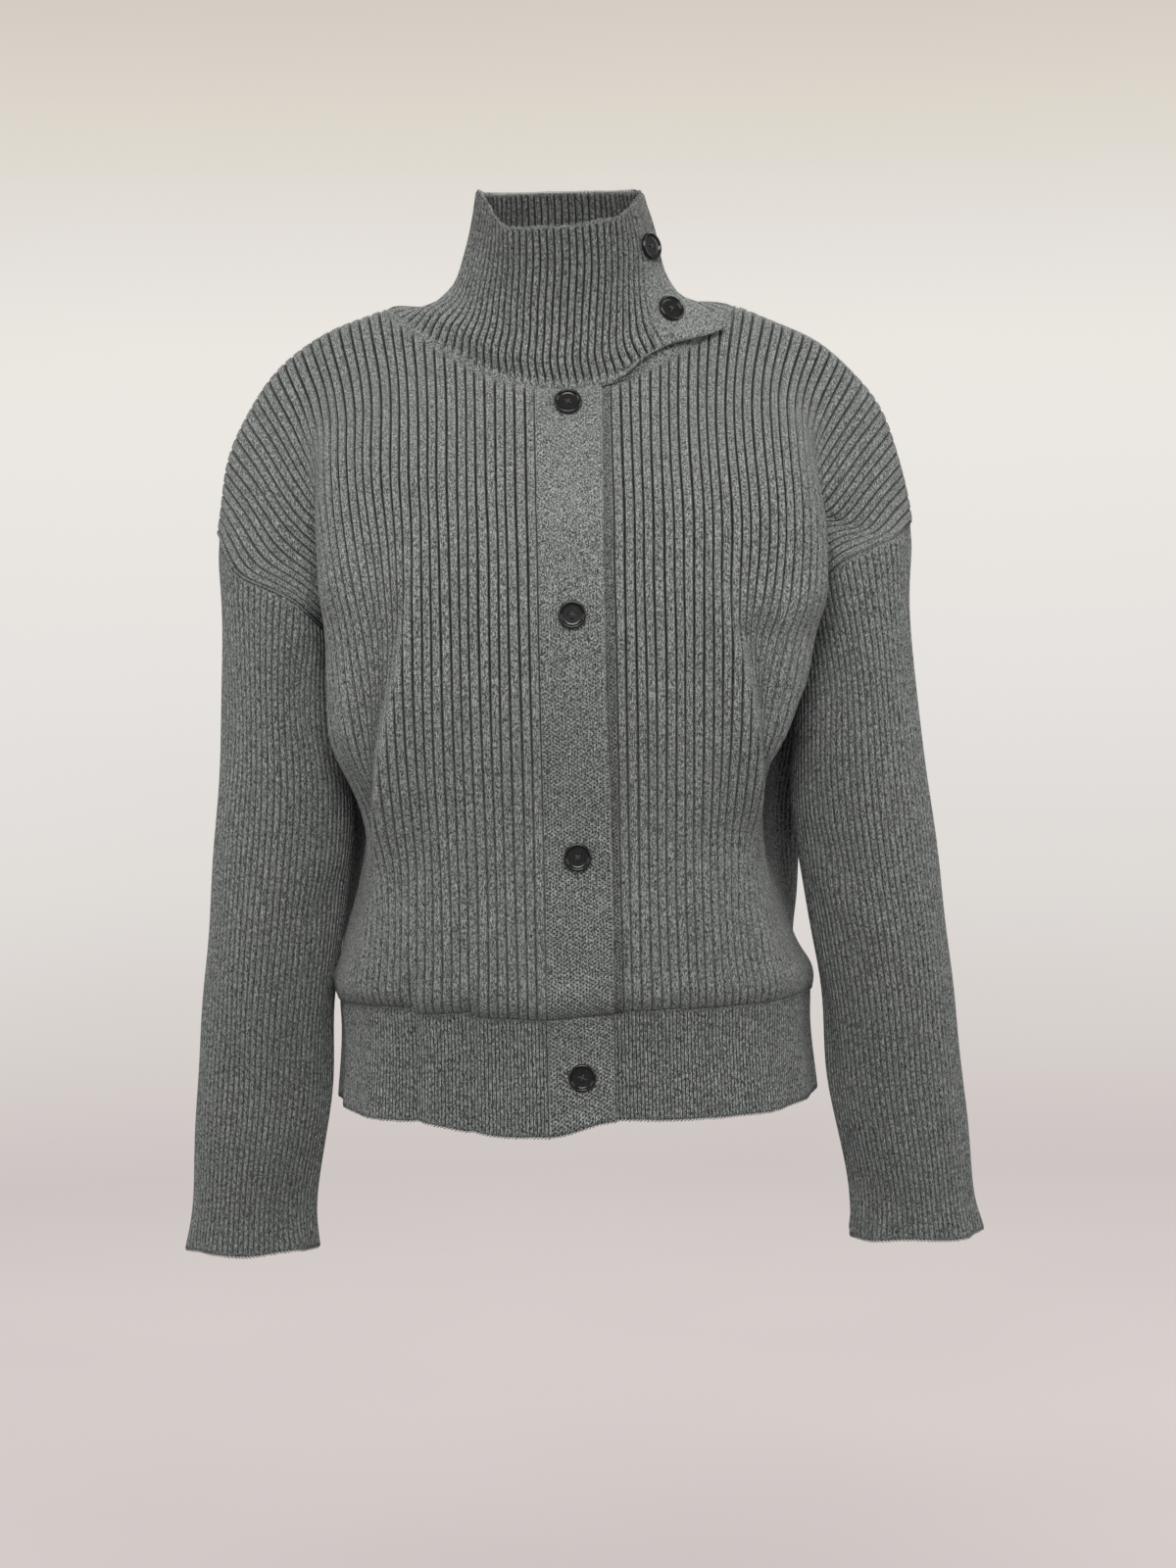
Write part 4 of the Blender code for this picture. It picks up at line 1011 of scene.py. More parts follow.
# %% Band pieces
BAND_COLUMNS, BAND_ROWS = 17, 76
BAND_EDGE_LIFT = 0.0012  # the free edge stands off the cloth below it
BAND_WALL, UNDERLAP_WALL, PLAIN_LEVEL = 0.0022, 0.0016, 0.0014
BEAD, BEAD_AT, BEAD_REACH = 0.0005, 0.0022, 0.0014  # the last stitches before its edge swell
ROLL, ROLL_REACH = 0.0012, 0.0015  # and the edge itself rolls under
UNDERLAP_RIGHT, UNDERLAP_OUT = BAND_RIGHT + 0.0071, 0.0006
UNDERLAP_SHOWN = (0.0, 0.12, 0.24, 0.50, 1.0), (.0075, .0070, .0060, .0084, .0070)  # this much, by height
BAND_STEPS = np.concatenate([np.linspace(1, 0.12, BAND_COLUMNS), [0.085, 0.055, 0.032, 0.014, 0]])


def plain_piece(name, points, x, up, wall, knit):
    piece = knit_grid(name, points, 0.5, 1.0, along_ribs(x, 1.0, up))
    return grow(piece, RIB_TREE, outer_level=PLAIN_LEVEL, wall=wall, material=knit)


def plain_band(name, from_edge, lift, wall, knit):
    """A band whose columns lie this far from the right side of the underlap."""
    across = np.broadcast_to((UNDERLAP_RIGHT - from_edge) / HALF_WIDTH, (BAND_ROWS, from_edge.shape[-1]))
    top = neck_front(across)
    along = HEM_CLEAR + (top - 2 * HEM_CLEAR) * graded(BAND_ROWS)[:, None]
    sink = seam_sink((along * ALONG_LENGTH, (top - along) * ALONG_LENGTH))
    points = body_places(across, along, lift(across, along) - sink)
    return plain_piece(name, points, across * HALF_WIDTH, along * ALONG_LENGTH, wall, knit)


shown = np.interp(graded(BAND_ROWS), *UNDERLAP_SHOWN)[:, None]
from_free_edge = BAND_STEPS * (UNDERLAP_RIGHT - BAND_LEFT - shown)


def band_lift(across, along):
    """The free edge stands off unevenly, in short waves."""
    free_edge = smooth(1 - from_free_edge / (BAND_MIDDLE - BAND_LEFT))
    wavy = 0.5 + 0.5 * np.sin(31 * along + 0.7) * np.sin(12 * along)
    bead = BEAD * hump(from_free_edge - BEAD_AT, BEAD_REACH)
    return BAND_EDGE_LIFT * free_edge * wavy + bead - ROLL * smooth(1 - from_free_edge / ROLL_REACH)


button_band = plain_band("button_band_cloth", shown + from_free_edge, band_lift, BAND_WALL, PLAIN_KNIT)
underlap_band = plain_band(
    "underlap_band_cloth", np.linspace(UNDERLAP_RIGHT - BAND_LEFT, 0, BAND_COLUMNS),
    lambda across, along: left_front_lift(across) + UNDERLAP_OUT, UNDERLAP_WALL, SHADED_KNIT,
)

# %% [markdown]
# ## The hem band
# The hem is a much finer rib, one stitch up and one down, that runs all round from one front edge
# to the other. It is drawn in a little, so the body above it blouses over the seam. Its ribs are
# evenly spaced along the edge, so the columns are placed by length and not by the field.

# %% Hem places
HEM_DEPTH, HEM_DRAW, HEM_SAG, HEM_SIDE_RISE = 0.075, 0.0035, 0.010, 0.008
SAG_START, SAG_FULL_TO, SAG_END = 0.05, 0.04, 0.09  # the front hangs lowest from the band to here
HEM_EASE, HEM_CALM, SIDE_RISE_FROM = 1 / 12, 0.15, (0.4, 0.6)  # and rises towards the sides from here
HEM_ROWS, HEM_PHASES, HEM_FADES = 15, (0.0, .26, .5, .74), (0.003, 0.0015)
HEM_FLAT, HEM_WALL = 0.15, 0.0014
HEM_LEVELS = (1 - graded(HEM_ROWS, 0.5)) * HEM_DEPTH  # from the lower edge up to the seam
HEM_SIZES = {"rib_height": 0.00075, "valley_floor": 0.05, "valley_top": 0.30, "outer_level": 0.0010}


def hem_surface(across, is_back, lift, drops=HEM_LEVELS):
    """Places of the hem at these drops below the seam, with its seam on the body's edge."""
    rise = seam_rise(across, is_back)
    start = draped(across, hem_along(is_back), lift - SEAM_DIP)
    start[:, 2] += rise
    out = unit(outward(across, hem_along(is_back)) * (1, 1, 0))
    share = (np.asarray(drops) / HEM_DEPTH)[:, None]
    x = across * HALF_WIDTH
    draw = HEM_DRAW * np.sin(np.pi * np.clip(share, 0, 1) ** 0.6) - SEAM_DIP * (1 - hump(share, HEM_EASE))
    wave = waves(x, ((0.0014, 43, 1.2 * is_back), (0.0009, 97, 2.0)))
    draw = draw + wave * smooth(share) * smooth((1 - np.abs(across)) / HEM_CALM)
    sag = HEM_SAG * smooth((BAND_RIGHT - x) / SAG_START) * (1 - smooth((-x - SAG_FULL_TO) / SAG_END))
    sag = np.where(is_back, 0.0, sag) - HEM_SIDE_RISE * after(np.abs(across), *SIDE_RISE_FROM)
    fall = share * (HEM_DEPTH + share * (sag + rise))
    return start - out * draw[..., None] - fall[..., None] * np.array((0, 0, 1))


def hem_path():
    """Places round the hem, dense enough to measure: (across, is it the back)."""
    left = np.linspace(BAND_RIGHT / HALF_WIDTH + 1 - SIDE_CLEAR, 1, 300)
    behind = np.linspace(1, -1, 600)[1:-1]
    right = np.linspace(-1, BAND_LEFT / HALF_WIDTH - 1 + SIDE_CLEAR, 300)
    across = np.concatenate([left, behind, right])
    return across, np.concatenate([left < 0, behind < 2, right > 0])


def hem_lift(across, is_back):
    return np.where((across > 0) & ~is_back, left_front_lift(across), 0.0)


# %% Hem band
def hem_band_piece():
    path_across, path_back = hem_path()
    walked = lengths(field(path_across, hem_along(path_back)))
    rib = rib_stations(0, walked[-1] / HEM_PITCH, HEM_PHASES)
    index = np.interp(rib * HEM_PITCH, walked, np.arange(len(walked)))
    across = np.interp(index, np.arange(len(walked)), path_across)
    is_back = path_back[np.rint(index).astype(int)]
    points = hem_surface(across, is_back, hem_lift(across, is_back))
    drops = np.broadcast_to(HEM_LEVELS[:, None], points.shape[:2])
    plain = np.maximum(rib_fade([drops, HEM_DEPTH - drops], HEM_FADES), HEM_FLAT)
    piece = knit_grid("hem_band_cloth", points, rib, plain, along_ribs(rib, HEM_PITCH, -drops))
    return grow(piece, RIB_TREE, material=HEM_KNIT, wall=HEM_WALL, **HEM_SIZES)


hem_band = hem_band_piece()
end_line = np.linspace(BAND_LEFT, BAND_RIGHT, BAND_COLUMNS)
end_points = hem_surface(end_line / HALF_WIDTH, np.zeros(BAND_COLUMNS, bool), 0.0)
hem_button_band = plain_piece(
    "hem_button_band_cloth", end_points, end_line, -HEM_LEVELS[:, None], BAND_WALL, PLAIN_KNIT,
)

# %% [markdown]
# ## The sleeves
# A sleeve is a tube, so it is lofted through rings: the first is the armhole itself, and the rest
# are ovals down to the cuff. The right sleeve hangs a little closer to the body, and each has its
# own few creases. The cuff has no band: the rib simply ends, flares a little and goes wavy, as rib
# does where nothing draws it in.

# %% Sleeve tables
SLEEVE_RINGS = {  # middle x, y and z, half width, half depth, outer rise, the right one's way inwards
    "upper_arm": (.2070, -.001, -.262, .0430, .0620, .026, .000),
    "above_elbow": (.2095, -.002, -.325, .0480, .0600, .012, .003),
    "elbow": (.2160, -.004, -.390, .0495, .0575, .004, .004),
    "below_elbow": (.2240, -.006, -.450, .0480, .0545, .000, .005),
    "forearm": (.2300, -.008, -.503, .0475, .0510, .000, .005),
    "lower_forearm": (.2335, -.010, -.552, .0485, .0465, .000, .005),
    "wrist": (.2400, -.012, -.605, .0460, .0415, .000, .005),
    "above_cuff": (.2445, -.012, -.645, .0450, .0380, .000, .005),
    "cuff": (.2455, -.012, -.668, .0480, .0405, .000, .005),
}
SLEEVE_FOLDS = {  # the columns of a body fold, in turns round the arm and shares of its length
    1: {
        "under_cap": (0.20, 0.02, 0.34, 0.22, .012, .0026),
        "elbow_front": (0.42, 0.34, 0.22, 0.50, .014, .0036),
        "elbow_ridge": (0.40, 0.42, 0.16, 0.60, .012, -.0022),
        "forearm": (0.12, 0.62, 0.30, 0.84, .014, .0024),
        "inner": (0.47, 0.55, 0.42, 0.90, .012, .0028),
        "behind": (0.70, 0.30, 0.58, 0.52, .016, .0036),
        "behind_low": (0.84, 0.55, 0.70, 0.76, .014, .0026),
    },
    -1: {
        "under_cap": (0.24, 0.02, 0.38, 0.26, .013, .0030),
        "elbow_front": (0.44, 0.40, 0.26, 0.52, .013, .0030),
        "upper_crease": (0.10, 0.12, 0.20, 0.40, .014, .0020),
        "forearm": (0.14, 0.56, 0.24, 0.86, .013, .0026),
        "inner": (0.46, 0.50, 0.44, 0.86, .012, .0026),
        "behind": (0.72, 0.28, 0.60, 0.48, .016, .0034),
        "behind_low": (0.80, 0.60, 0.68, 0.80, .015, .0024),
    },
}
SLEEVE_METRES = np.array((0.32, 0.50))  # one turn round and the whole length, in metres
SLEEVE_SIZES = {"rib_height": 0.0013, "valley_floor": 0.07, "valley_top": 0.24, "outer_level": 0.0011}
SLEEVE_ROWS, SLEEVE_PHASES, SLEEVE_FADES = 78, (0.0, .12, .24, .5, .76, .88), (0.004, 0.001)
SLEEVE_WALL, SLEEVE_FLAT = 0.0013, 0.10
SLEEVE_RIPPLE, CAP_CALM = 0.0007, 0.06  # how uneven it is, and the share of its length that stays calm
CUFF_WAVE, CUFF_WAVE_REACH, CUFF_WAVES = 0.0013, 0.016, ((1, 9), (0.6, 5))  # share and count of each
CUFF_DROP, CUFF_DROP_REACH, CUFF_DROPS = 0.0011, 0.020, 4
OUT_OF_SEAM, BACK_TO_LEVEL = 0.012, 0.030  # the cloth comes out of its seam over these distances
RING_POINTS = 721
ARMHOLE_INSIDE = 0.995  # a line just inside the armhole's edge gives the way off it
SHAPED_SEAM, UNDERARM_REACH = 0.0010, 0.055  # the sleeve stands this clear of the body, up to this height


# %% Rings of a sleeve
def armhole_ring(side, steps=121):
    """The sleeve's top edge, once round from the shoulder by the front."""
    down = np.linspace(1, UNDERARM, steps)
    along = np.concatenate([down, 2 - down[-2:0:-1]])
    edge = draped(side + 0 * along, along, -SEAM_DIP)
    inside = draped(side * ARMHOLE_INSIDE + 0 * along, along, -SEAM_DIP)
    ring = edge + unit(edge - inside) * SEAM_CLEAR
    near = smooth(1 - (ring[:, 2] - SECTIONS["front_bust"][EDGE_AT + 2]) / UNDERARM_REACH)
    ring[:, 0] += side * near * (LAYER + SHAPED_SEAM)
    return np.concatenate([ring, ring[:1]])


def oval_ring(row, side):
    x, y, z, half_width, half_depth, rise, right_in = row
    turn = np.linspace(0, 2 * np.pi, RING_POINTS)
    x = x - right_in * (side < 0) + half_width * np.cos(turn)
    return np.stack([side * x, y - half_depth * np.sin(turn), z + rise * np.cos(turn)], axis=1)


def sleeve_push(side, turn, down):
    """How far the sleeve's folds, its cuff's waves and its seam move the cloth outwards."""
    push = -folded(SLEEVE_FOLDS[side], np.stack([turn, down], axis=-1) * SLEEVE_METRES, SLEEVE_METRES)
    angle = 2 * np.pi * turn
    push = push + SLEEVE_RIPPLE * np.sin(3 * angle + 9 * down + side) * np.sin(21 * down + 2 * side)
    from_seam, from_cuff = down * SLEEVE_METRES[1], (1 - down) * SLEEVE_METRES[1]
    wave = waves(angle, [(*wave, start) for wave, start in zip(CUFF_WAVES, (side, 2.1))])
    seam = SEAM_DIP * (1 - hump(from_seam, OUT_OF_SEAM)) * hump(from_seam, BACK_TO_LEVEL)
    return push * smooth(down / CAP_CALM) + CUFF_WAVE * wave * hump(from_cuff, CUFF_WAVE_REACH) + seam


# %% Sleeve pieces
def sleeve(name, side):
    rib = rib_stations(0, SLEEVE_RIBS, SLEEVE_PHASES)[:-1]
    rings = [armhole_ring(side)] + [oval_ring(row, side) for row in SLEEVE_RINGS.values()]
    rings = np.array([along_line(ring, rib / SLEEVE_RIBS) for ring in rings])
    knots = lengths(rings.mean(axis=1))
    down = graded(SLEEVE_ROWS, 0.5)
    points = spline(knots, rings.reshape(len(rings), -1), down * knots[-1]).reshape(len(down), -1, 3)
    down, rib = np.broadcast_arrays(down[:, None], rib)
    if side < 0:
        points, rib = points[:, ::-1], rib[:, ::-1]
    turn = rib / SLEEVE_RIBS
    points = points + grid_normals(points, closed=True) * sleeve_push(side, turn, down)[..., None]
    from_seam, from_cuff = down * SLEEVE_METRES[1], (1 - down) * SLEEVE_METRES[1]
    drop = CUFF_DROP * np.sin(2 * np.pi * CUFF_DROPS * turn + 1.1 * side)
    points[..., 2] += drop * hump(from_cuff, CUFF_DROP_REACH)
    plain = np.maximum(rib_fade([from_seam, from_cuff], SLEEVE_FADES), SLEEVE_FLAT)
    counted = np.concatenate([rib, rib[:, :1] + side * SLEEVE_RIBS], axis=1)
    metres = along_ribs(counted, SLEEVE_PITCH, -from_seam[:, :1])
    piece = knit_grid(name, points, rib, plain, metres, closed=True)
    return grow(piece, RIB_TREE, material=SLEEVE_KNIT, wall=SLEEVE_WALL, **SLEEVE_SIZES)


sleeve_left = sleeve("sleeve_left_cloth", 1)
sleeve_right = sleeve("sleeve_right_cloth", -1)

# %% [markdown]
# ## The collar
# The polo collar is one tall ribbed strip. It starts under the left side, runs once round the
# neck, and laps over itself to end in a plain buttoned flap. Like a sleeve it is lofted through
# rings, but here a column is an angle round the neck and a row is a height.
# Its ribs are as wide at the rim as at the seam in front, and fan out at the sides, where the
# collar spreads on to the shoulders. So a rib's angle shifts a little from row to row, and the
# places are looked up on a fine strip that was made first.

# %% Collar tables
COLLAR_RINGS = {  # height, middle x, half width, front y, back y, front z, side z, back z
    "on_shoulder": (0.14, -.002, .1010, -.0680, .0670, -.032, .0125, .015),
    "flare": (0.30, -.001, .0845, -.0675, .0645, -.014, .0190, .032),
    "neck": (0.44, .000, .0745, -.0670, .0630, .002, .0310, .046),
    "throat": (0.56, .001, .0700, -.0660, .0620, .016, .0440, .057),
    "upper": (0.72, .0025, .0660, -.0640, .0605, .035, .0620, .073),
    "rim": (1.00, .002, .0590, -.0590, .0570, .0650, .0950, .098),
}
BASE_SPREAD, RIM_SPREAD = 80, 45  # degrees from the front over which a ring climbs to its side
FLAP_STAND, FLAP_STAND_HEIGHT = 0.0075, 0.19  # the flap's free edge stands this much further off the cloth
FLAP_TAUT, FLAP_RISE, FLAP_OVERHANG, FLAP_DROOP, FLAP_CREST = 0.14, 0.004, 0.0075, 0.005, 0.0045
FLAP_END = 65  # degrees from the middle of the front, as are all pairs below: from nothing to full
FLAP_FREE, FLAP_CORNER, FLAP_DROOPS, FLAP_PULLS = (18, 34), (38, FLAP_END), (40, FLAP_END), (18, 50)
FLAP_STANDS, FLAP_OVER, CREST_RISES, CREST_FALLS = (14, 30), (10, 40), (2, 28), (30, 58)
UNDER_STARTS, UNDER_ENDS = (6, 16), (70, 90)
ROOT_HEIGHT, ROOT_DEPTH, ROOT_DIP = 0.03, 0.0035, 0.3
COLLAR_DEPTH = 0.118  # metres of cloth from the seam to the rim
COLLAR_HEIGHTS, COLLAR_PHASES, COLLAR_WALL = graded(26, 0.5), (0.0, .10, .22, .5, .78, .90), 0.0013
COLLAR_FAN = ((0.0, 0.5, 1.0), (-0.22, 0.07, 0.20))  # how much wider than even the front ribs are, by height
COLLAR_SIZES = {"rib_height": 0.0018, "valley_floor": 0.08, "valley_top": 0.23, "outer_level": 0.0013}
FLAP_PLAIN = 0.062  # the flap's plain end, as a share of one turn
COLLAR_FADE, RIM_FADE = 0.0075, 0.0012
UNDER_FADE = 1.6  # the ribs fade this much later under the flap
RIM_WAVE, RIM_WAVE_REACH, COLLAR_RIPPLE = 0.0006, 0.10, 0.0007
PLAIN_FROM, PLAIN_SPREAD = 0.9, 0.012  # the rib ends within the flap's plain end
SIDE_DROOP, SIDE_DROOP_AT, SIDE_DROOP_REACH = 0.006, 84, 24  # the rim hangs lower beside the flap's end


# %% Collar helpers
def neck_places(turn, inset=0.0):
    """Field places of the neckline at angles from the middle of the front, left side first."""
    across = NECK_ACROSS * np.sin(turn)
    along = np.where(np.cos(turn) > 0, neck_front(across), neck_back(across))
    narrower = 1 - inset / HALF_WIDTH / NECK_ACROSS
    shallower = 1 - inset / ALONG_LENGTH / np.where(along > 1, NECK_DROP_BACK, NECK_DROP_FRONT)
    return across * narrower, 1 + (along - 1) * shallower


def neck_share(turn):
    """Share of the neckline's length at each angle, counting whole turns."""
    turns = np.linspace(0, 2 * np.pi, RING_POINTS)
    walked = lengths(field(*neck_places(turns)))
    whole = np.floor(turn / (2 * np.pi))
    return whole + np.interp(turn - 2 * np.pi * whole, turns, walked / walked[-1])


def collar_ring(row, shares):
    height, middle_x, half_width, front_y, back_y, front_z, side_z, back_z = row
    angle = np.linspace(0, 360, RING_POINTS)
    off_front, turn = np.minimum(angle, 360 - angle), np.radians(angle)
    spread = BASE_SPREAD + (RIM_SPREAD - BASE_SPREAD) * height
    climb = (front_z - side_z) * smooth((BASE_SPREAD - off_front) / spread)
    z = side_z + climb + (back_z - side_z) * smooth((off_front - 90) / 90)
    y = (front_y + back_y + (front_y - back_y) * np.cos(turn)) / 2
    return along_line(np.stack([middle_x + half_width * np.sin(turn), y, z], axis=1), shares % 1.0)


# %% Collar surface
def over(turn, start, end):
    """0 before an angle of start degrees, 1 after end, and a soft step between."""
    return smooth((np.degrees(turn) - start) / (end - start))


def collar_surface(turn, heights):
    """Places of the collar and directions out of it, at these angles and shares of its height."""
    shares = neck_share(turn)
    free, corner = over(turn, *FLAP_FREE), over(turn, *FLAP_CORNER)
    rise = (FLAP_RISE * (1 - corner) - FLAP_OVERHANG * corner) * free
    dip = -SEAM_DIP * (1 - free)
    seam = draped(*neck_places(turn, 2 * SEAM_CLEAR + rise), dip)
    root = draped(*neck_places(turn, ROOT_DEPTH + rise), dip * ROOT_DIP)
    rings = np.array([seam, root] + [collar_ring(row, shares) for row in COLLAR_RINGS.values()])
    knots = np.array([0, ROOT_HEIGHT] + [row[0] for row in COLLAR_RINGS.values()])
    crest = over(turn, *CREST_RISES) * (1 - over(turn, *CREST_FALLS))
    side = hump(np.degrees(turn) + 360 - SIDE_DROOP_AT, SIDE_DROOP_REACH)
    rings[-1, :, 2] += FLAP_CREST * crest - FLAP_DROOP * over(turn, *FLAP_DROOPS) - SIDE_DROOP * side
    straight = rings[0] + (rings[-1] - rings[0]) * knots[:, None, None]
    rings += (straight - rings) * (FLAP_TAUT * over(turn, *FLAP_PULLS))[:, None]
    points = spline(knots, rings.reshape(len(rings), -1), heights).reshape(len(heights), -1, 3)
    out = unit(np.cross(np.gradient(points, axis=1), np.gradient(points, axis=0)))
    h = heights[:, None]
    stand = FLAP_STAND * (0.6 + 0.4 * smooth(h / 0.10)) * (1 - smooth(h / FLAP_STAND_HEIGHT))
    layers = over(turn, *FLAP_OVER) + over(turn + 2 * np.pi, *FLAP_OVER) - 1
    lift = LAYER * layers + over(turn, *FLAP_STANDS) * stand
    soft = COLLAR_RIPPLE * np.sin(9 * turn + 4 * h) * np.sin(6 * h + 2.0 * turn)
    wave = RIM_WAVE * np.sin(23 * turn) * hump(1 - h, RIM_WAVE_REACH)
    return points + out * (lift + soft * smooth(h / 0.1) + wave)[..., None], out


# %% Collar piece
def collar_piece():
    strip_turn = np.linspace(-2 * np.pi, np.radians(FLAP_END), 1800)
    strip_share = neck_share(strip_turn)
    strip = collar_surface(strip_turn, COLLAR_HEIGHTS)
    last = strip_share[-1]
    rib = rib_stations(-COLLAR_RIBS, last * COLLAR_RIBS, COLLAR_PHASES)
    share = rib / COLLAR_RIBS
    fan = np.interp(COLLAR_HEIGHTS, *COLLAR_FAN)[:, None]
    at = share + fan * np.sin(4 * np.pi * share) / (4 * np.pi) * smooth((last - share) / FLAP_PLAIN)
    turn = np.interp(at, strip_share, strip_turn)
    points, out = (np.array([read_line(strip_turn, *line) for line in zip(sheet, turn)]) for sheet in strip)
    up = np.broadcast_to(COLLAR_HEIGHTS[:, None] * COLLAR_DEPTH, turn.shape)
    under = over(turn + 2 * np.pi, *UNDER_STARTS) * (1 - over(turn + 2 * np.pi, *UNDER_ENDS))
    plain = rib_fade([up, COLLAR_DEPTH - up], (COLLAR_FADE * (1 + UNDER_FADE * under), RIM_FADE))
    plain = np.maximum(plain, 1 - after(last - share, FLAP_PLAIN * PLAIN_FROM, PLAIN_SPREAD))
    piece = knit_grid("collar_cloth", points, rib, plain, along_ribs(rib, COLLAR_PITCH, up), out=out)
    return grow(piece, RIB_TREE, material=COLLAR_KNIT, wall=COLLAR_WALL, **COLLAR_SIZES)


collar = collar_piece()

# %% [markdown]
# ## Linked seams and edges
# The panels are joined by linking, which leaves a chain of small loops along each seam, and every
# free edge ends in bound-off loops. The loops are all alike and follow a line, which is what
# Geometry Nodes do well: a line of places with a direction out of the cloth becomes a curve, the
# curve is divided by the stitch length, and on each place two short yarns lean towards each other.

# %% The linking tree
def linking_tree():
    tree, size, result = new_tree("linked_loops", {
        "Stitch length": 0.0030, "Yarn radius": 0.00050, "Lean": 0.45, "Spread": 0.00055,
        "Unevenness": 0.25, "Seed": 7,
    })
    line = add(tree, "GeometryNodeMeshToCurve", {"Mesh": size["Geometry"]})
    spaced = {"Curve": line, "Length": size["Stitch length"]}
    spaced = add(tree, "GeometryNodeResampleCurve", spaced, mode="LENGTH")
    yarn = add(tree, "GeometryNodeMeshUVSphere", {"Segments": 5, "Rings": 4, "Radius": 1.0})
    tangent, out = add(tree, "GeometryNodeInputTangent"), direction(tree)
    sideways = out.vector("CROSS_PRODUCT", tangent).vector("NORMALIZE")
    legs = []
    for number, way in enumerate((1.0, -1.0)):
        chance = {2: -1.0, 3: 1.0, "Seed": size["Seed"] + float(number)}
        uneven = add(tree, "FunctionNodeRandomValue", chance, 1, data_type="FLOAT") * size["Unevenness"]
        lean = (uneven * 0.5 + size["Lean"]) * way
        leant = tangent.vector("SCALE", lean.maths("COSINE")).vector(
            "ADD", sideways.vector("SCALE", lean.maths("SINE")))
        turn = add(
            tree, "FunctionNodeAxesToRotation", {0: leant, 1: out}, primary_axis="Z", secondary_axis="X")
        thick = (uneven * 0.5 + 1.0) * size["Yarn radius"]
        long = (uneven * 0.3 + 0.72) * size["Stitch length"]
        offset = sideways.vector("SCALE", size["Spread"] * -way)
        legs.append(add(tree, "GeometryNodeInstanceOnPoints", {
            "Points": add(tree, "GeometryNodeSetPosition", {"Geometry": spaced, "Offset": offset}),
            "Instance": yarn, "Rotation": turn,
            "Scale": add(tree, "ShaderNodeCombineXYZ", {0: thick, 1: thick, 2: long}),
        }))
    both = add(tree, "GeometryNodeJoinGeometry", {"Geometry": legs})
    return finish_tree(tree, size, result, both)


LINKING_TREE = linking_tree()


# %% Loop yarn
def yarn_material():
    made, tree, look, place = new_material("linking_yarn", WOOL)
    # The loops take the heather's default, darker light grey: painted shade along the seams.
    wool = add(tree, "ShaderNodeGroup", node_tree=HEATHER, inputs={"Place": place})
    feed(tree, look["Base Color"], wool["Colour"])
    feed(tree, look["Normal"], bumped(tree, wool["Fibre"], 0.6, 0.0002))
    return made


YARN = yarn_material()


def line_object(name, lines):
    """A mesh of polylines."""
    starts = np.cumsum([0] + [len(line) for line in lines[:-1]])
    edges = [(start + k, start + k + 1) for start, line in zip(starts, lines) for k in range(len(line) - 1)]
    shape = bpy.data.meshes.new(name)
    shape.from_pydata(np.concatenate(lines).tolist(), edges, [])
    return new_object(name, shape)


def loop_line(name, lines, **sizes):
    """Linked loops along these lines, each a pair of places and directions out of the cloth."""
    piece = line_object(name, [line[0] for line in lines])
    keep(piece.data, "out", np.concatenate([line[1] for line in lines]))
    return grow(piece, LINKING_TREE, material=YARN, **sizes)


def body_line(across, along, lift):
    across, along = np.broadcast_arrays(np.asarray(across, float), np.asarray(along, float))
    return body_places(across, along, lift), outward(across, along)


# %% Seam loops
LOOP_LEVEL = 0.0004  # the middle of a seam's loops, measured from the sunk cloth
SEAM_LEVEL = LOOP_LEVEL + 0.0006 - SEAM_DIP  # these lie a little higher
HEM_LOOP_LEVEL = 0.0010
NECK_INSET, FROM_NECK, FROM_HEM, FROM_SHOULDER = 0.0003, 0.012, 0.004, 0.003  # clear of what they meet
FINE_YARN = 0.00040
SIDES = (-1, 1)

band_turn = np.arcsin(BAND_RIGHT / HALF_WIDTH / NECK_ACROSS)
neck_line = neck_places(np.linspace(band_turn - 2 * np.pi, band_turn, 400), NECK_INSET)
neck_loops = loop_line("neckline_loops", [body_line(*neck_line, SEAM_LEVEL)])
shoulder = np.linspace(NECK_ACROSS + FROM_NECK, 1, 60)
shoulder_lines = [body_line(side * shoulder, 1.0, SEAM_LEVEL) for side in SIDES]
shoulder_loops = loop_line("shoulder_loops", shoulder_lines, stitch_length=0.0032, yarn_radius=FINE_YARN)
up_side = np.linspace(FROM_HEM, UNDERARM, 90)
side_lines = [body_line(side, up_side, SEAM_LEVEL - LOOP_LEVEL) for side in SIDES]
side_loops = loop_line("side_seam_loops", side_lines, stitch_length=0.0034, yarn_radius=FINE_YARN)
down = np.linspace(1 - FROM_SHOULDER, UNDERARM, 160)
round_arm = np.concatenate([down, 2 - down[::-1]])
armhole_lines = [body_line(side, round_arm, LOOP_LEVEL - SEAM_DIP) for side in SIDES]
armhole_loops = loop_line("armhole_loops", armhole_lines, stitch_length=0.0030, yarn_radius=FINE_YARN)
round_hem, behind = (values[::4] for values in hem_path())
hem_line = hem_surface(round_hem, behind, hem_lift(round_hem, behind) + HEM_LOOP_LEVEL, [0.0])[0]
hem_out = unit(outward(round_hem, hem_along(behind)) * (1, 1, 0))
hem_loops = loop_line("hem_seam_loops", [(hem_line, hem_out)], stitch_length=0.0028, yarn_radius=FINE_YARN)


# %% Bound-off edges
def edge_loops(name, pieces, row, radius, spread, closed=False):
    """Loops along one row of these pieces' outer sheets."""
    lines = []
    for piece in pieces:
        points, out = (grid[row] for grid in KNIT_GRIDS[piece.name])
        if closed:
            points, out = np.concatenate([points, points[:1]]), np.concatenate([out, out[:1]])
        lines.append((points + out * LOOP_LEVEL, out))
    return loop_line(name, lines, stitch_length=0.0026, yarn_radius=radius, lean=0.6, spread=spread)


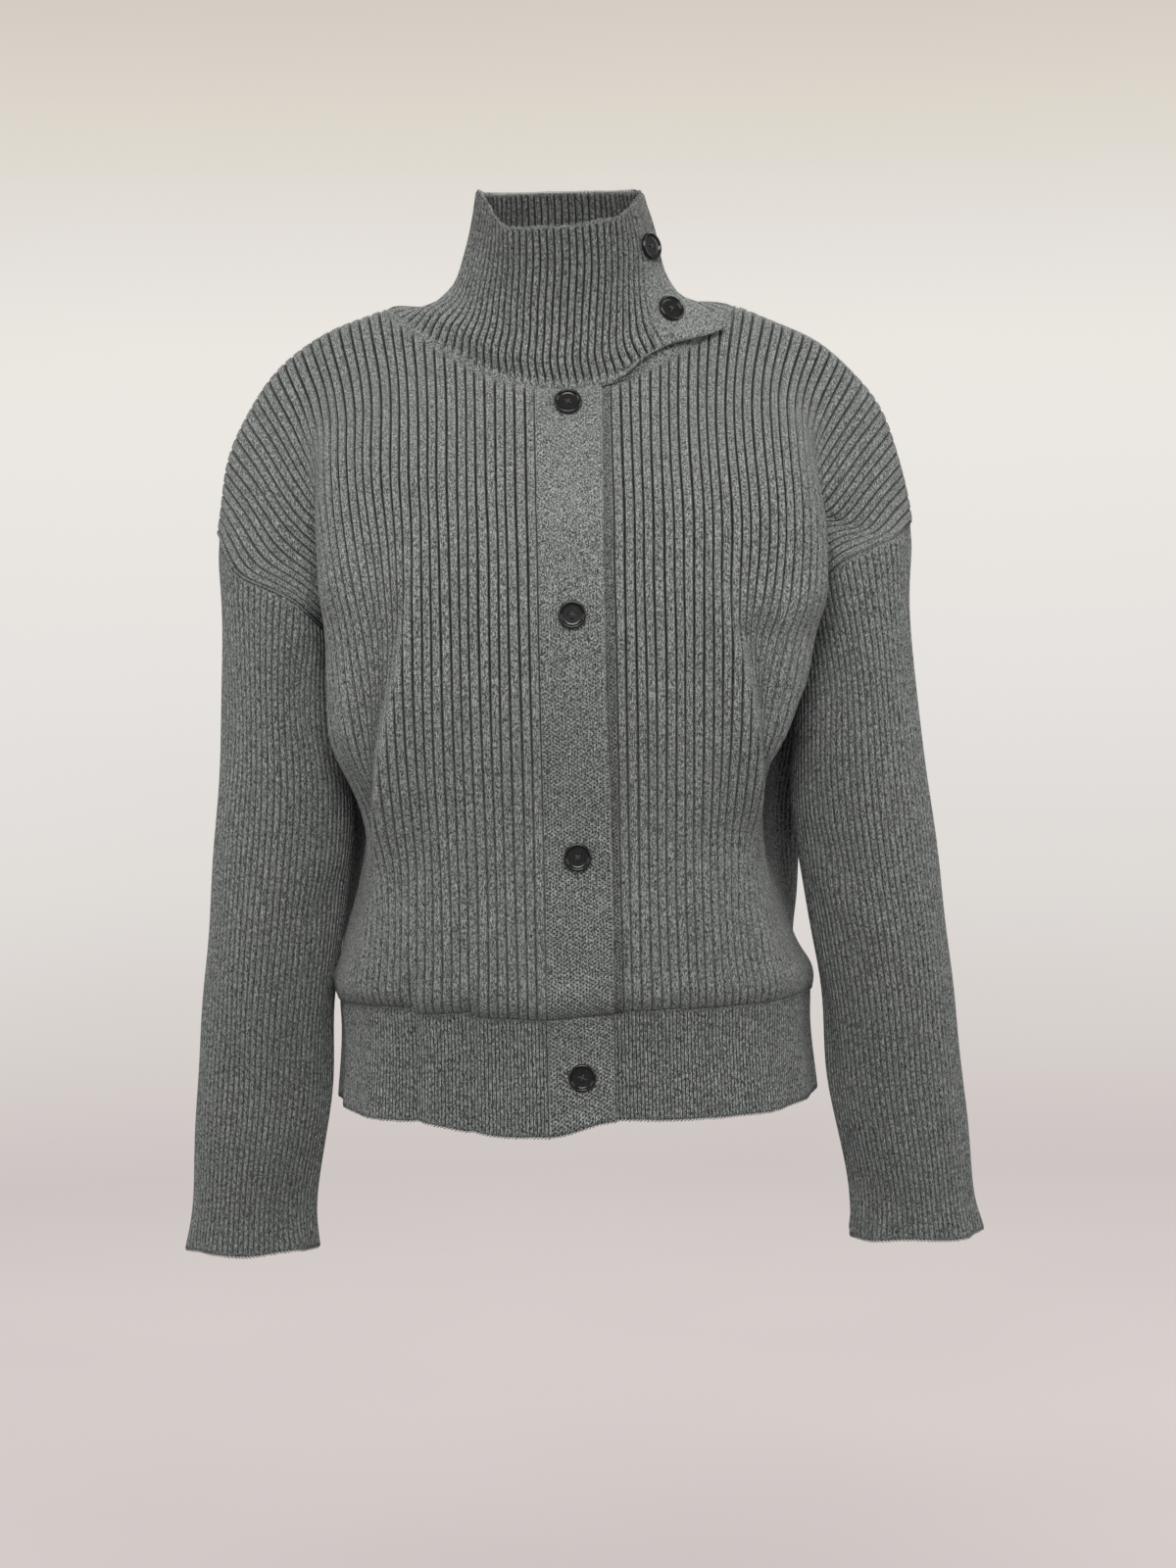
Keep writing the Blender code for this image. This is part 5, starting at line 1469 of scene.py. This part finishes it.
rim_loops = edge_loops("rim_loops", [collar], -1, 0.00055, 0.0006)
cuff_loops = edge_loops("cuff_loops", [sleeve_left, sleeve_right], -1, 0.00055, 0.0006, closed=True)
hem_edge_loops = edge_loops("hem_edge_loops", [hem_band, hem_button_band], 0, 0.00050, 0.0005)

# %% [markdown]
# ## Buttons
# The buttons are polished black horn: round, with a raised rim, a dished middle and four holes.
# A lathe made the real ones, so here a profile is turned about its axis as well, and four
# cylinders are cut out of it. Each button is sewn on with dark thread that crosses in the middle.
# A CAD button says where each one sits and which way it faces.

# %% Button shape
BUTTON_RADIUS, BUTTON_THICKNESS = 0.0099, 0.0040
BUTTON_HOLE_RADIUS, BUTTON_HOLE_SPACING = 0.0010, 0.0034
DISH_LEVEL = 0.56  # of the thickness
BUTTON_STEPS, HOLE_STEPS = 56, 20
BUTTON_PROFILE = (  # shares of the radius and thickness, from the front's middle round to the back's
    (0.00, .56), (0.12, .56), (0.30, .56), (0.48, .56), (0.64, .56), (0.715, .575), (0.76, .66), (0.785, .79),
    (0.81, .91), (0.84, .98), (0.880, 1.0), (0.925, .975), (0.960, .90), (0.985, .79), (1.00, .64),
    (0.995, .48), (0.965, .32), (0.90, .17), (0.78, .06), (0.60, .01), (0.40, 0.0), (0.00, 0.0),
)


def from_bmesh(name, shape):
    mesh = bpy.data.meshes.new(name)
    shape.to_mesh(mesh)
    shape.free()
    return new_object(name, mesh)


def lathe(name, profile, steps):
    """A profile of radius and height turned about the upright axis."""
    shape, rings = bmesh.new(), []
    for r, z in profile:
        angles = [2 * math.pi * k / steps for k in range(steps if r else 1)]
        ring = [shape.verts.new((r * math.cos(a), r * math.sin(a), z)) for a in angles]
        rings.append(ring if r else ring * steps)
    for a, b in zip(rings, rings[1:]):
        for k in range(steps):
            n = (k + 1) % steps
            shape.faces.new(dict.fromkeys((a[k], b[k], b[n], a[n])))
    return from_bmesh(name, shape)


# %% The button itself
def button_shape():
    sizes = np.array(BUTTON_PROFILE) * (BUTTON_RADIUS, BUTTON_THICKNESS)
    turned = lathe("button_blank", sizes.tolist(), BUTTON_STEPS)
    shape = bmesh.new()
    for x, y in ((1, 1), (-1, 1), (-1, -1), (1, -1)):
        half = BUTTON_HOLE_SPACING / 2
        bmesh.ops.create_cone(
            shape, cap_ends=True, segments=HOLE_STEPS, radius1=BUTTON_HOLE_RADIUS, radius2=BUTTON_HOLE_RADIUS,
            depth=4 * BUTTON_THICKNESS, matrix=Matrix.Translation((half * x, half * y, 0)),
        )
    drills = from_bmesh("drills", shape)
    cut = turned.modifiers.new("holes", "BOOLEAN")
    cut.operation, cut.object = "DIFFERENCE", drills
    finished = evaluated_mesh(turned)
    for old in (turned, drills):
        bpy.data.objects.remove(old)
    return finished


BUTTON = button_shape()
print("button:", len(BUTTON.vertices), "vertices")


# %% Button finish
def horn_material():
    coat = {"Coat Weight": 0.2, "Coat Roughness": 0.08, "Specular IOR Level": 0.30}
    made, tree, look, place = new_material("black_horn", coat)
    streak = noise(place.vector("MULTIPLY", (900.0, 900.0, 260.0)), 1.0, 4.0, 0.6).remap(0.40, 0.68)
    dull = noise(place, 2600.0, 3.0, 0.6)
    dark, light = (0.0040, 0.0041, 0.0045, 1.0), (0.012, 0.0115, 0.011, 1.0)
    feed(tree, look["Base Color"], mix_colour(tree, streak, dark, light))
    feed(tree, look["Roughness"], dull.remap(0.3, 0.7, 0.12, 0.24))
    feed(tree, look["Normal"], bumped(tree, dull, 0.25, 0.00005))
    return made


def thread_material():
    made, tree, look, place = new_material("button_thread", {"Roughness": 0.75, "Sheen Weight": 0.1})
    twist = noise(place, 5200.0)
    dark, light = (0.010, 0.010, 0.011, 1.0), (0.040, 0.040, 0.042, 1.0)
    feed(tree, look["Base Color"], mix_colour(tree, twist, dark, light))
    feed(tree, look["Normal"], bumped(tree, twist, 0.5, 0.0001))
    return made


HORN, THREAD = horn_material(), thread_material()


# %% Thread tree
def thread_tree():
    tree, size, result = new_tree("sewing_thread", {"Thread radius": 0.00028, "Sides": 6})
    line = add(tree, "GeometryNodeMeshToCurve", {"Mesh": size["Geometry"]})
    ring = {"Resolution": size["Sides"], "Radius": size["Thread radius"]}
    ring = add(tree, "GeometryNodeCurvePrimitiveCircle", ring, mode="RADIUS")
    tube = {"Curve": line, "Profile Curve": ring, "Fill Caps": True}
    return finish_tree(tree, size, result, add(tree, "GeometryNodeCurveToMesh", tube))


THREAD_TREE = thread_tree()
THREAD_STRANDS = (-0.00034, 0.0, 0.00034)  # each cross is sewn three times, side by side
THREAD_RISE, THREAD_END = 0.00055, 0.2 * BUTTON_THICKNESS  # over the dish, and inside the holes


def thread_lines():
    """Lines that cross from hole to hole over the button's middle, and go down into the holes."""
    far = BUTTON_HOLE_SPACING / math.sqrt(2)
    share = np.linspace(-1, 1, 13)
    lines = []
    for level, angle in enumerate((45, 135)):
        a = math.radians(angle)
        way, side = np.array((math.cos(a), math.sin(a), 0)), np.array((-math.sin(a), math.cos(a), 0))
        rise = DISH_LEVEL * BUTTON_THICKNESS + THREAD_RISE * (1 + 0.5 * level) * (1 - share**4)
        shares = np.concatenate([[-1], share, [1]])
        rises = np.concatenate([[THREAD_END], rise, [THREAD_END]])
        for strand in THREAD_STRANDS:
            lines.append(shares[:, None] * far * way + side * strand + rises[:, None] * (0, 0, 1))
    return lines


# %% Buttons in place
SHARP_FROM = math.radians(42)  # edges sharper than this stay crisp


def facing(node):
    """The middle of a CAD button's back and the direction it faces."""
    places = np.array([v.co for v in frame["nodes"][node].data.vertices])
    centre = places.mean(axis=0)
    ways = np.linalg.eigh(np.cov((places - centre).T))[1]
    at = (places - centre) @ ways
    middle = centre + ways @ ((at.min(axis=0) + at.max(axis=0)) / 2)
    out = ways[:, 0] * np.sign(ways[:, 0] @ (middle * (1, 1, 0)))
    return Vector(middle - out * np.ptp(at[:, 0]) / 2), Vector(out)


def sewn_button(node, turn):
    base, out = facing(node)
    way = out.to_track_quat("Z", "Y").to_matrix().to_4x4()
    place = Matrix.Translation(base) @ way @ Matrix.Rotation(turn, 4, "Z")
    mesh = BUTTON.copy()
    mesh.name = node + "_horn"
    mesh.transform(place)
    mesh.materials.clear()
    mesh.materials.append(HORN)
    mesh.shade_smooth()
    mesh.set_sharp_from_angle(angle=SHARP_FROM)
    button = new_object(mesh.name, mesh)
    lines = [line @ np.array(place.to_3x3()).T + np.array(base) for line in thread_lines()]
    thread = line_object(node + "_thread", lines)
    return button, grow(thread, THREAD_TREE, material=THREAD)


BUTTON_TURNS = {
    "button_front_1": 0.10, "button_front_2": 0.75, "button_front_3": -0.20, "button_front_4": 0.40,
    "button_collar_1": 0.30, "button_collar_2": 0.60,
}
buttons = {node: sewn_button(node, turn) for node, turn in BUTTON_TURNS.items()}
print("buttons:", len(buttons), "of", triangles(buttons["button_front_1"][0]), "triangles")

# %% [markdown]
# ## Floor, light and camera
# The floor and the wall behind it are one large bowl, so no corner shows from any side. Only the
# camera sees it: it neither throws light back nor shades the cloth, and a pale sky does the
# filling in. A large lamp above the camera and weaker ones at both sides model the ribs.

# %% Stage
FLOOR_LEVEL = -1.45
FLOOR_RADIUS, CURVE_RADIUS, WALL_TOP = 4.6, 1.8, 6.0
CURVE_STEPS, STAGE_STEPS = 12, 96
# The paper's colour at each height is its pale tint with painted shade: darker at the top and towards the
# floor.
PAPER_HEIGHTS = (-1.45, -1.30, -1.0, -0.57, 0.0, 0.25, 0.49, 0.76, 1.05)
PAPER_TINT_AND_SHADE = (
    (.690, .637, .628), (.760, .714, .700), (.850, .822, .800), (.921, .893, .879), (.970, .950, .911),
    (.970, .937, .894), (.910, .875, .840), (.849, .805, .728), (.780, .722, .660),
)
PAPER_PAINTED_GLOW = 0.30  # the paper glows a little by itself: painted light, added to what the lamps give
PAPER_PAINTED_SHADE_NEAR = (1.5, 4.7, 0.70, 0.98)  # painted shade: the floor is this much darker near the middle


def stage_bowl():
    curve = [math.pi / 2 * k / CURVE_STEPS for k in range(1, CURVE_STEPS + 1)]
    profile = [(0.0, 0.0), (FLOOR_RADIUS * 0.5, 0.0), (FLOOR_RADIUS, 0.0)]
    profile += [(FLOOR_RADIUS + CURVE_RADIUS * math.sin(a), CURVE_RADIUS * (1 - math.cos(a))) for a in curve]
    profile.append((FLOOR_RADIUS + CURVE_RADIUS, WALL_TOP))
    bowl = lathe("studio_floor", [(r, z + FLOOR_LEVEL) for r, z in profile], STAGE_STEPS)
    bowl.data.shade_smooth()
    return bowl


# %% Paper
def paper_material():
    """Pale paper with faint unevenness, painted darker at the top, towards the floor and near the
    middle of the floor, as painted shade, and glowing a little, as painted light.
    """
    made, tree, look, place = new_material("studio_paper", {
        "Roughness": 1.0, "Specular IOR Level": 0.0, "Emission Strength": PAPER_PAINTED_GLOW,
    })
    low, high = PAPER_HEIGHTS[0], PAPER_HEIGHTS[-1]
    height = add(tree, "ShaderNodeSeparateXYZ", {0: place}, "Z").remap(low, high)
    ramp = add(tree, "ShaderNodeValToRGB", {0: height})
    stops = ramp.socket.node.color_ramp.elements
    stops.remove(stops[1])
    stops[0].color = PAPER_TINT_AND_SHADE[0] + (1.0,)
    for z, colour in zip(PAPER_HEIGHTS[1:], PAPER_TINT_AND_SHADE[1:]):
        stops.new((z - low) / (high - low)).color = colour + (1.0,)
    off_middle = place.vector("MULTIPLY", (1.0, 1.0, 0.0)).vector("LENGTH")["Value"]
    paper = mix_colour(tree, 1.0, ramp, grey_of(tree, off_middle.remap(*PAPER_PAINTED_SHADE_NEAR)), "MULTIPLY")
    cloud = noise(place, 1.1).remap(0.3, 0.7)
    paper = mix_colour(tree, cloud * 0.05, paper, (1.0, 0.96, 0.94, 1.0))
    feed(tree, look["Base Color"], paper)
    # The paper glows in its own colour: painted light.
    feed(tree, look["Emission Color"], paper)
    return made


floor = stage_bowl()
floor.data.materials.append(paper_material())
floor.visible_diffuse = floor.visible_glossy = floor.visible_shadow = False
floor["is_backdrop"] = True
print("floor:", round(2 * (FLOOR_RADIUS + CURVE_RADIUS), 1), "m across")

# %% Light
LAMPS = {  # place, size in metres, power in watts, colour
    "front_lamp": ((0.0, -3.1, 1.7), 1.8, 138.0, (1.0, 0.985, 0.96)),
    "left_lamp": ((3.0, -0.7, 0.8), 1.8, 44.0, (1.0, 0.98, 0.95)),
    "right_lamp": ((-3.0, -0.7, 0.8), 1.8, 40.0, (1.0, 0.98, 0.95)),
    "back_lamp": ((0.4, 3.0, 2.4), 2.2, 60.0, (1.0, 0.99, 0.97)),
}
LAMPS_FACE = Vector((0, 0, -0.25))
SKY_COLOUR, SKY_STRENGTH = (1.0, 0.99, 0.975, 1.0), 0.36

for name, (place, width, power, colour) in LAMPS.items():
    lamp = bpy.data.lights.new(name, "AREA")
    lamp.size, lamp.energy, lamp.color = width, power, colour
    holder = new_object(name, lamp)
    holder.location = place
    holder.rotation_euler = (LAMPS_FACE - Vector(place)).to_track_quat("-Z", "Y").to_euler()
    holder.visible_camera = False

sky = bpy.data.worlds.new("studio_sky")
sky.use_nodes = True
glow = sky.node_tree.nodes["Background"].inputs
glow["Color"].default_value, glow["Strength"].default_value = SKY_COLOUR, SKY_STRENGTH
bpy.context.scene.world = sky
bpy.context.scene.view_settings.view_transform = "Standard"
print("lamps:", list(LAMPS))

# %% Camera
CAMERA_PLACE = (0.0129, -2.7179, -0.1212)
CAMERA_PITCH, CAMERA_ROLL = math.radians(-4.5), math.radians(-1.23)
CAMERA_LENS = 85.56

camera_data = bpy.data.cameras.new("camera")
camera_data.lens, camera_data.sensor_width = CAMERA_LENS, 36.0
camera = new_object("camera", camera_data)
facing_back = Matrix.Rotation(math.pi / 2 + CAMERA_PITCH, 4, "X") @ Matrix.Rotation(CAMERA_ROLL, 4, "Z")
camera.matrix_world = Matrix.Translation(CAMERA_PLACE) @ facing_back
bpy.context.scene.camera = camera
print("camera:", CAMERA_LENS, "mm lens,", round(-CAMERA_PLACE[1], 2), "m in front")

# %% [markdown]
# ## Hand everything to the frame
# Every piece rides on the one body, and one that stands for a solid hides it. A table lists the
# slot each cloth piece is finished in, and the size it was knitted to before it was worn: its
# greatest width and length, and its area where it isn't a rectangle.

# %% Rides and slots
CLOTH = {
    "front_left": (front_left, "rib_knit"), "front_right": (front_right, "rib_knit"),
    "back": (back, "rib_knit"), "sleeve_left": (sleeve_left, "rib_knit"),
    "sleeve_right": (sleeve_right, "rib_knit"), "collar": (collar, "rib_knit"),
    "hem_band": (hem_band, "rib_knit"), "button_band": (button_band, "plain_knit"),
    "underlap_band": (underlap_band, "plain_knit"), "hem_button_band": (hem_button_band, "plain_knit"),
}
SEAM_LOOPS = neck_loops, shoulder_loops, side_loops, armhole_loops, hem_loops
EDGE_LOOPS = rim_loops, cuff_loops, hem_edge_loops


def hand_over(piece, node=None):
    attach(piece, "root")
    if node:
        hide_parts(node)


for node, (piece, slot) in CLOTH.items():
    hand_over(piece, node)
for piece in SEAM_LOOPS + EDGE_LOOPS:
    hand_over(piece)
for node, (button, thread) in buttons.items():
    hand_over(button, node)
    hand_over(thread)
total = sum(triangles(piece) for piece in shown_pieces() if piece.type == "MESH" and not piece.hide_render)

# %% Flat sizes
BAND_WIDTH = BAND_RIGHT - BAND_LEFT
COLLAR_TURNS = 1.18
ALL_ROUND = "front_right", "back", "front_left"
FLAT_SIZES = {  # width, length, area, how it is held, what it rests on, which loops belong to it
    "back": (2 * HALF_WIDTH, ALONG_LENGTH, 0.265, "hung", (), (shoulder_loops, side_loops)),
    "front_left": (HALF_WIDTH - BAND_RIGHT, ALONG_LENGTH, 0.117, "hung", ("back",), ()),
    "front_right": (HALF_WIDTH + BAND_LEFT, ALONG_LENGTH, 0.123, "hung", ("back",), ()),
    "sleeve_left": (
        SLEEVE_RIBS * SLEEVE_PITCH, 0.515, 0.153, "hung", ("front_left", "back"), (armhole_loops,)),
    "sleeve_right": (
        SLEEVE_RIBS * SLEEVE_PITCH, 0.515, 0.150, "hung", ("front_right", "back"), (cuff_loops,)),
    "collar": (
        COLLAR_TURNS * COLLAR_RIBS * COLLAR_PITCH, COLLAR_DEPTH, 0.0603, "draped", ALL_ROUND,
        (neck_loops, rim_loops)),
    "hem_band": (0.900, 0.083, 0.0710, "hung", ALL_ROUND, (hem_loops, hem_edge_loops)),
    "button_band": (BAND_WIDTH, 0.458, 0.0212, "hung", ("front_right",), ()),
    "underlap_band": (UNDERLAP_RIGHT - BAND_LEFT, 0.456, 0.0240, "hung", ("front_left",), ()),
    "hem_button_band": (BAND_WIDTH, 0.085, 0.0037, "hung", ("button_band",), ()),
}
for node, (width, length, area, held, rests_on, with_pieces) in FLAT_SIZES.items():
    piece = CLOTH[node][0]
    relief = sum(p.area for p in piece.data.polygons) / 2 / area
    print(node, "flat", round(width, 3), "x", round(length, 3), "m, ribs and all", round(relief, 2), "times")
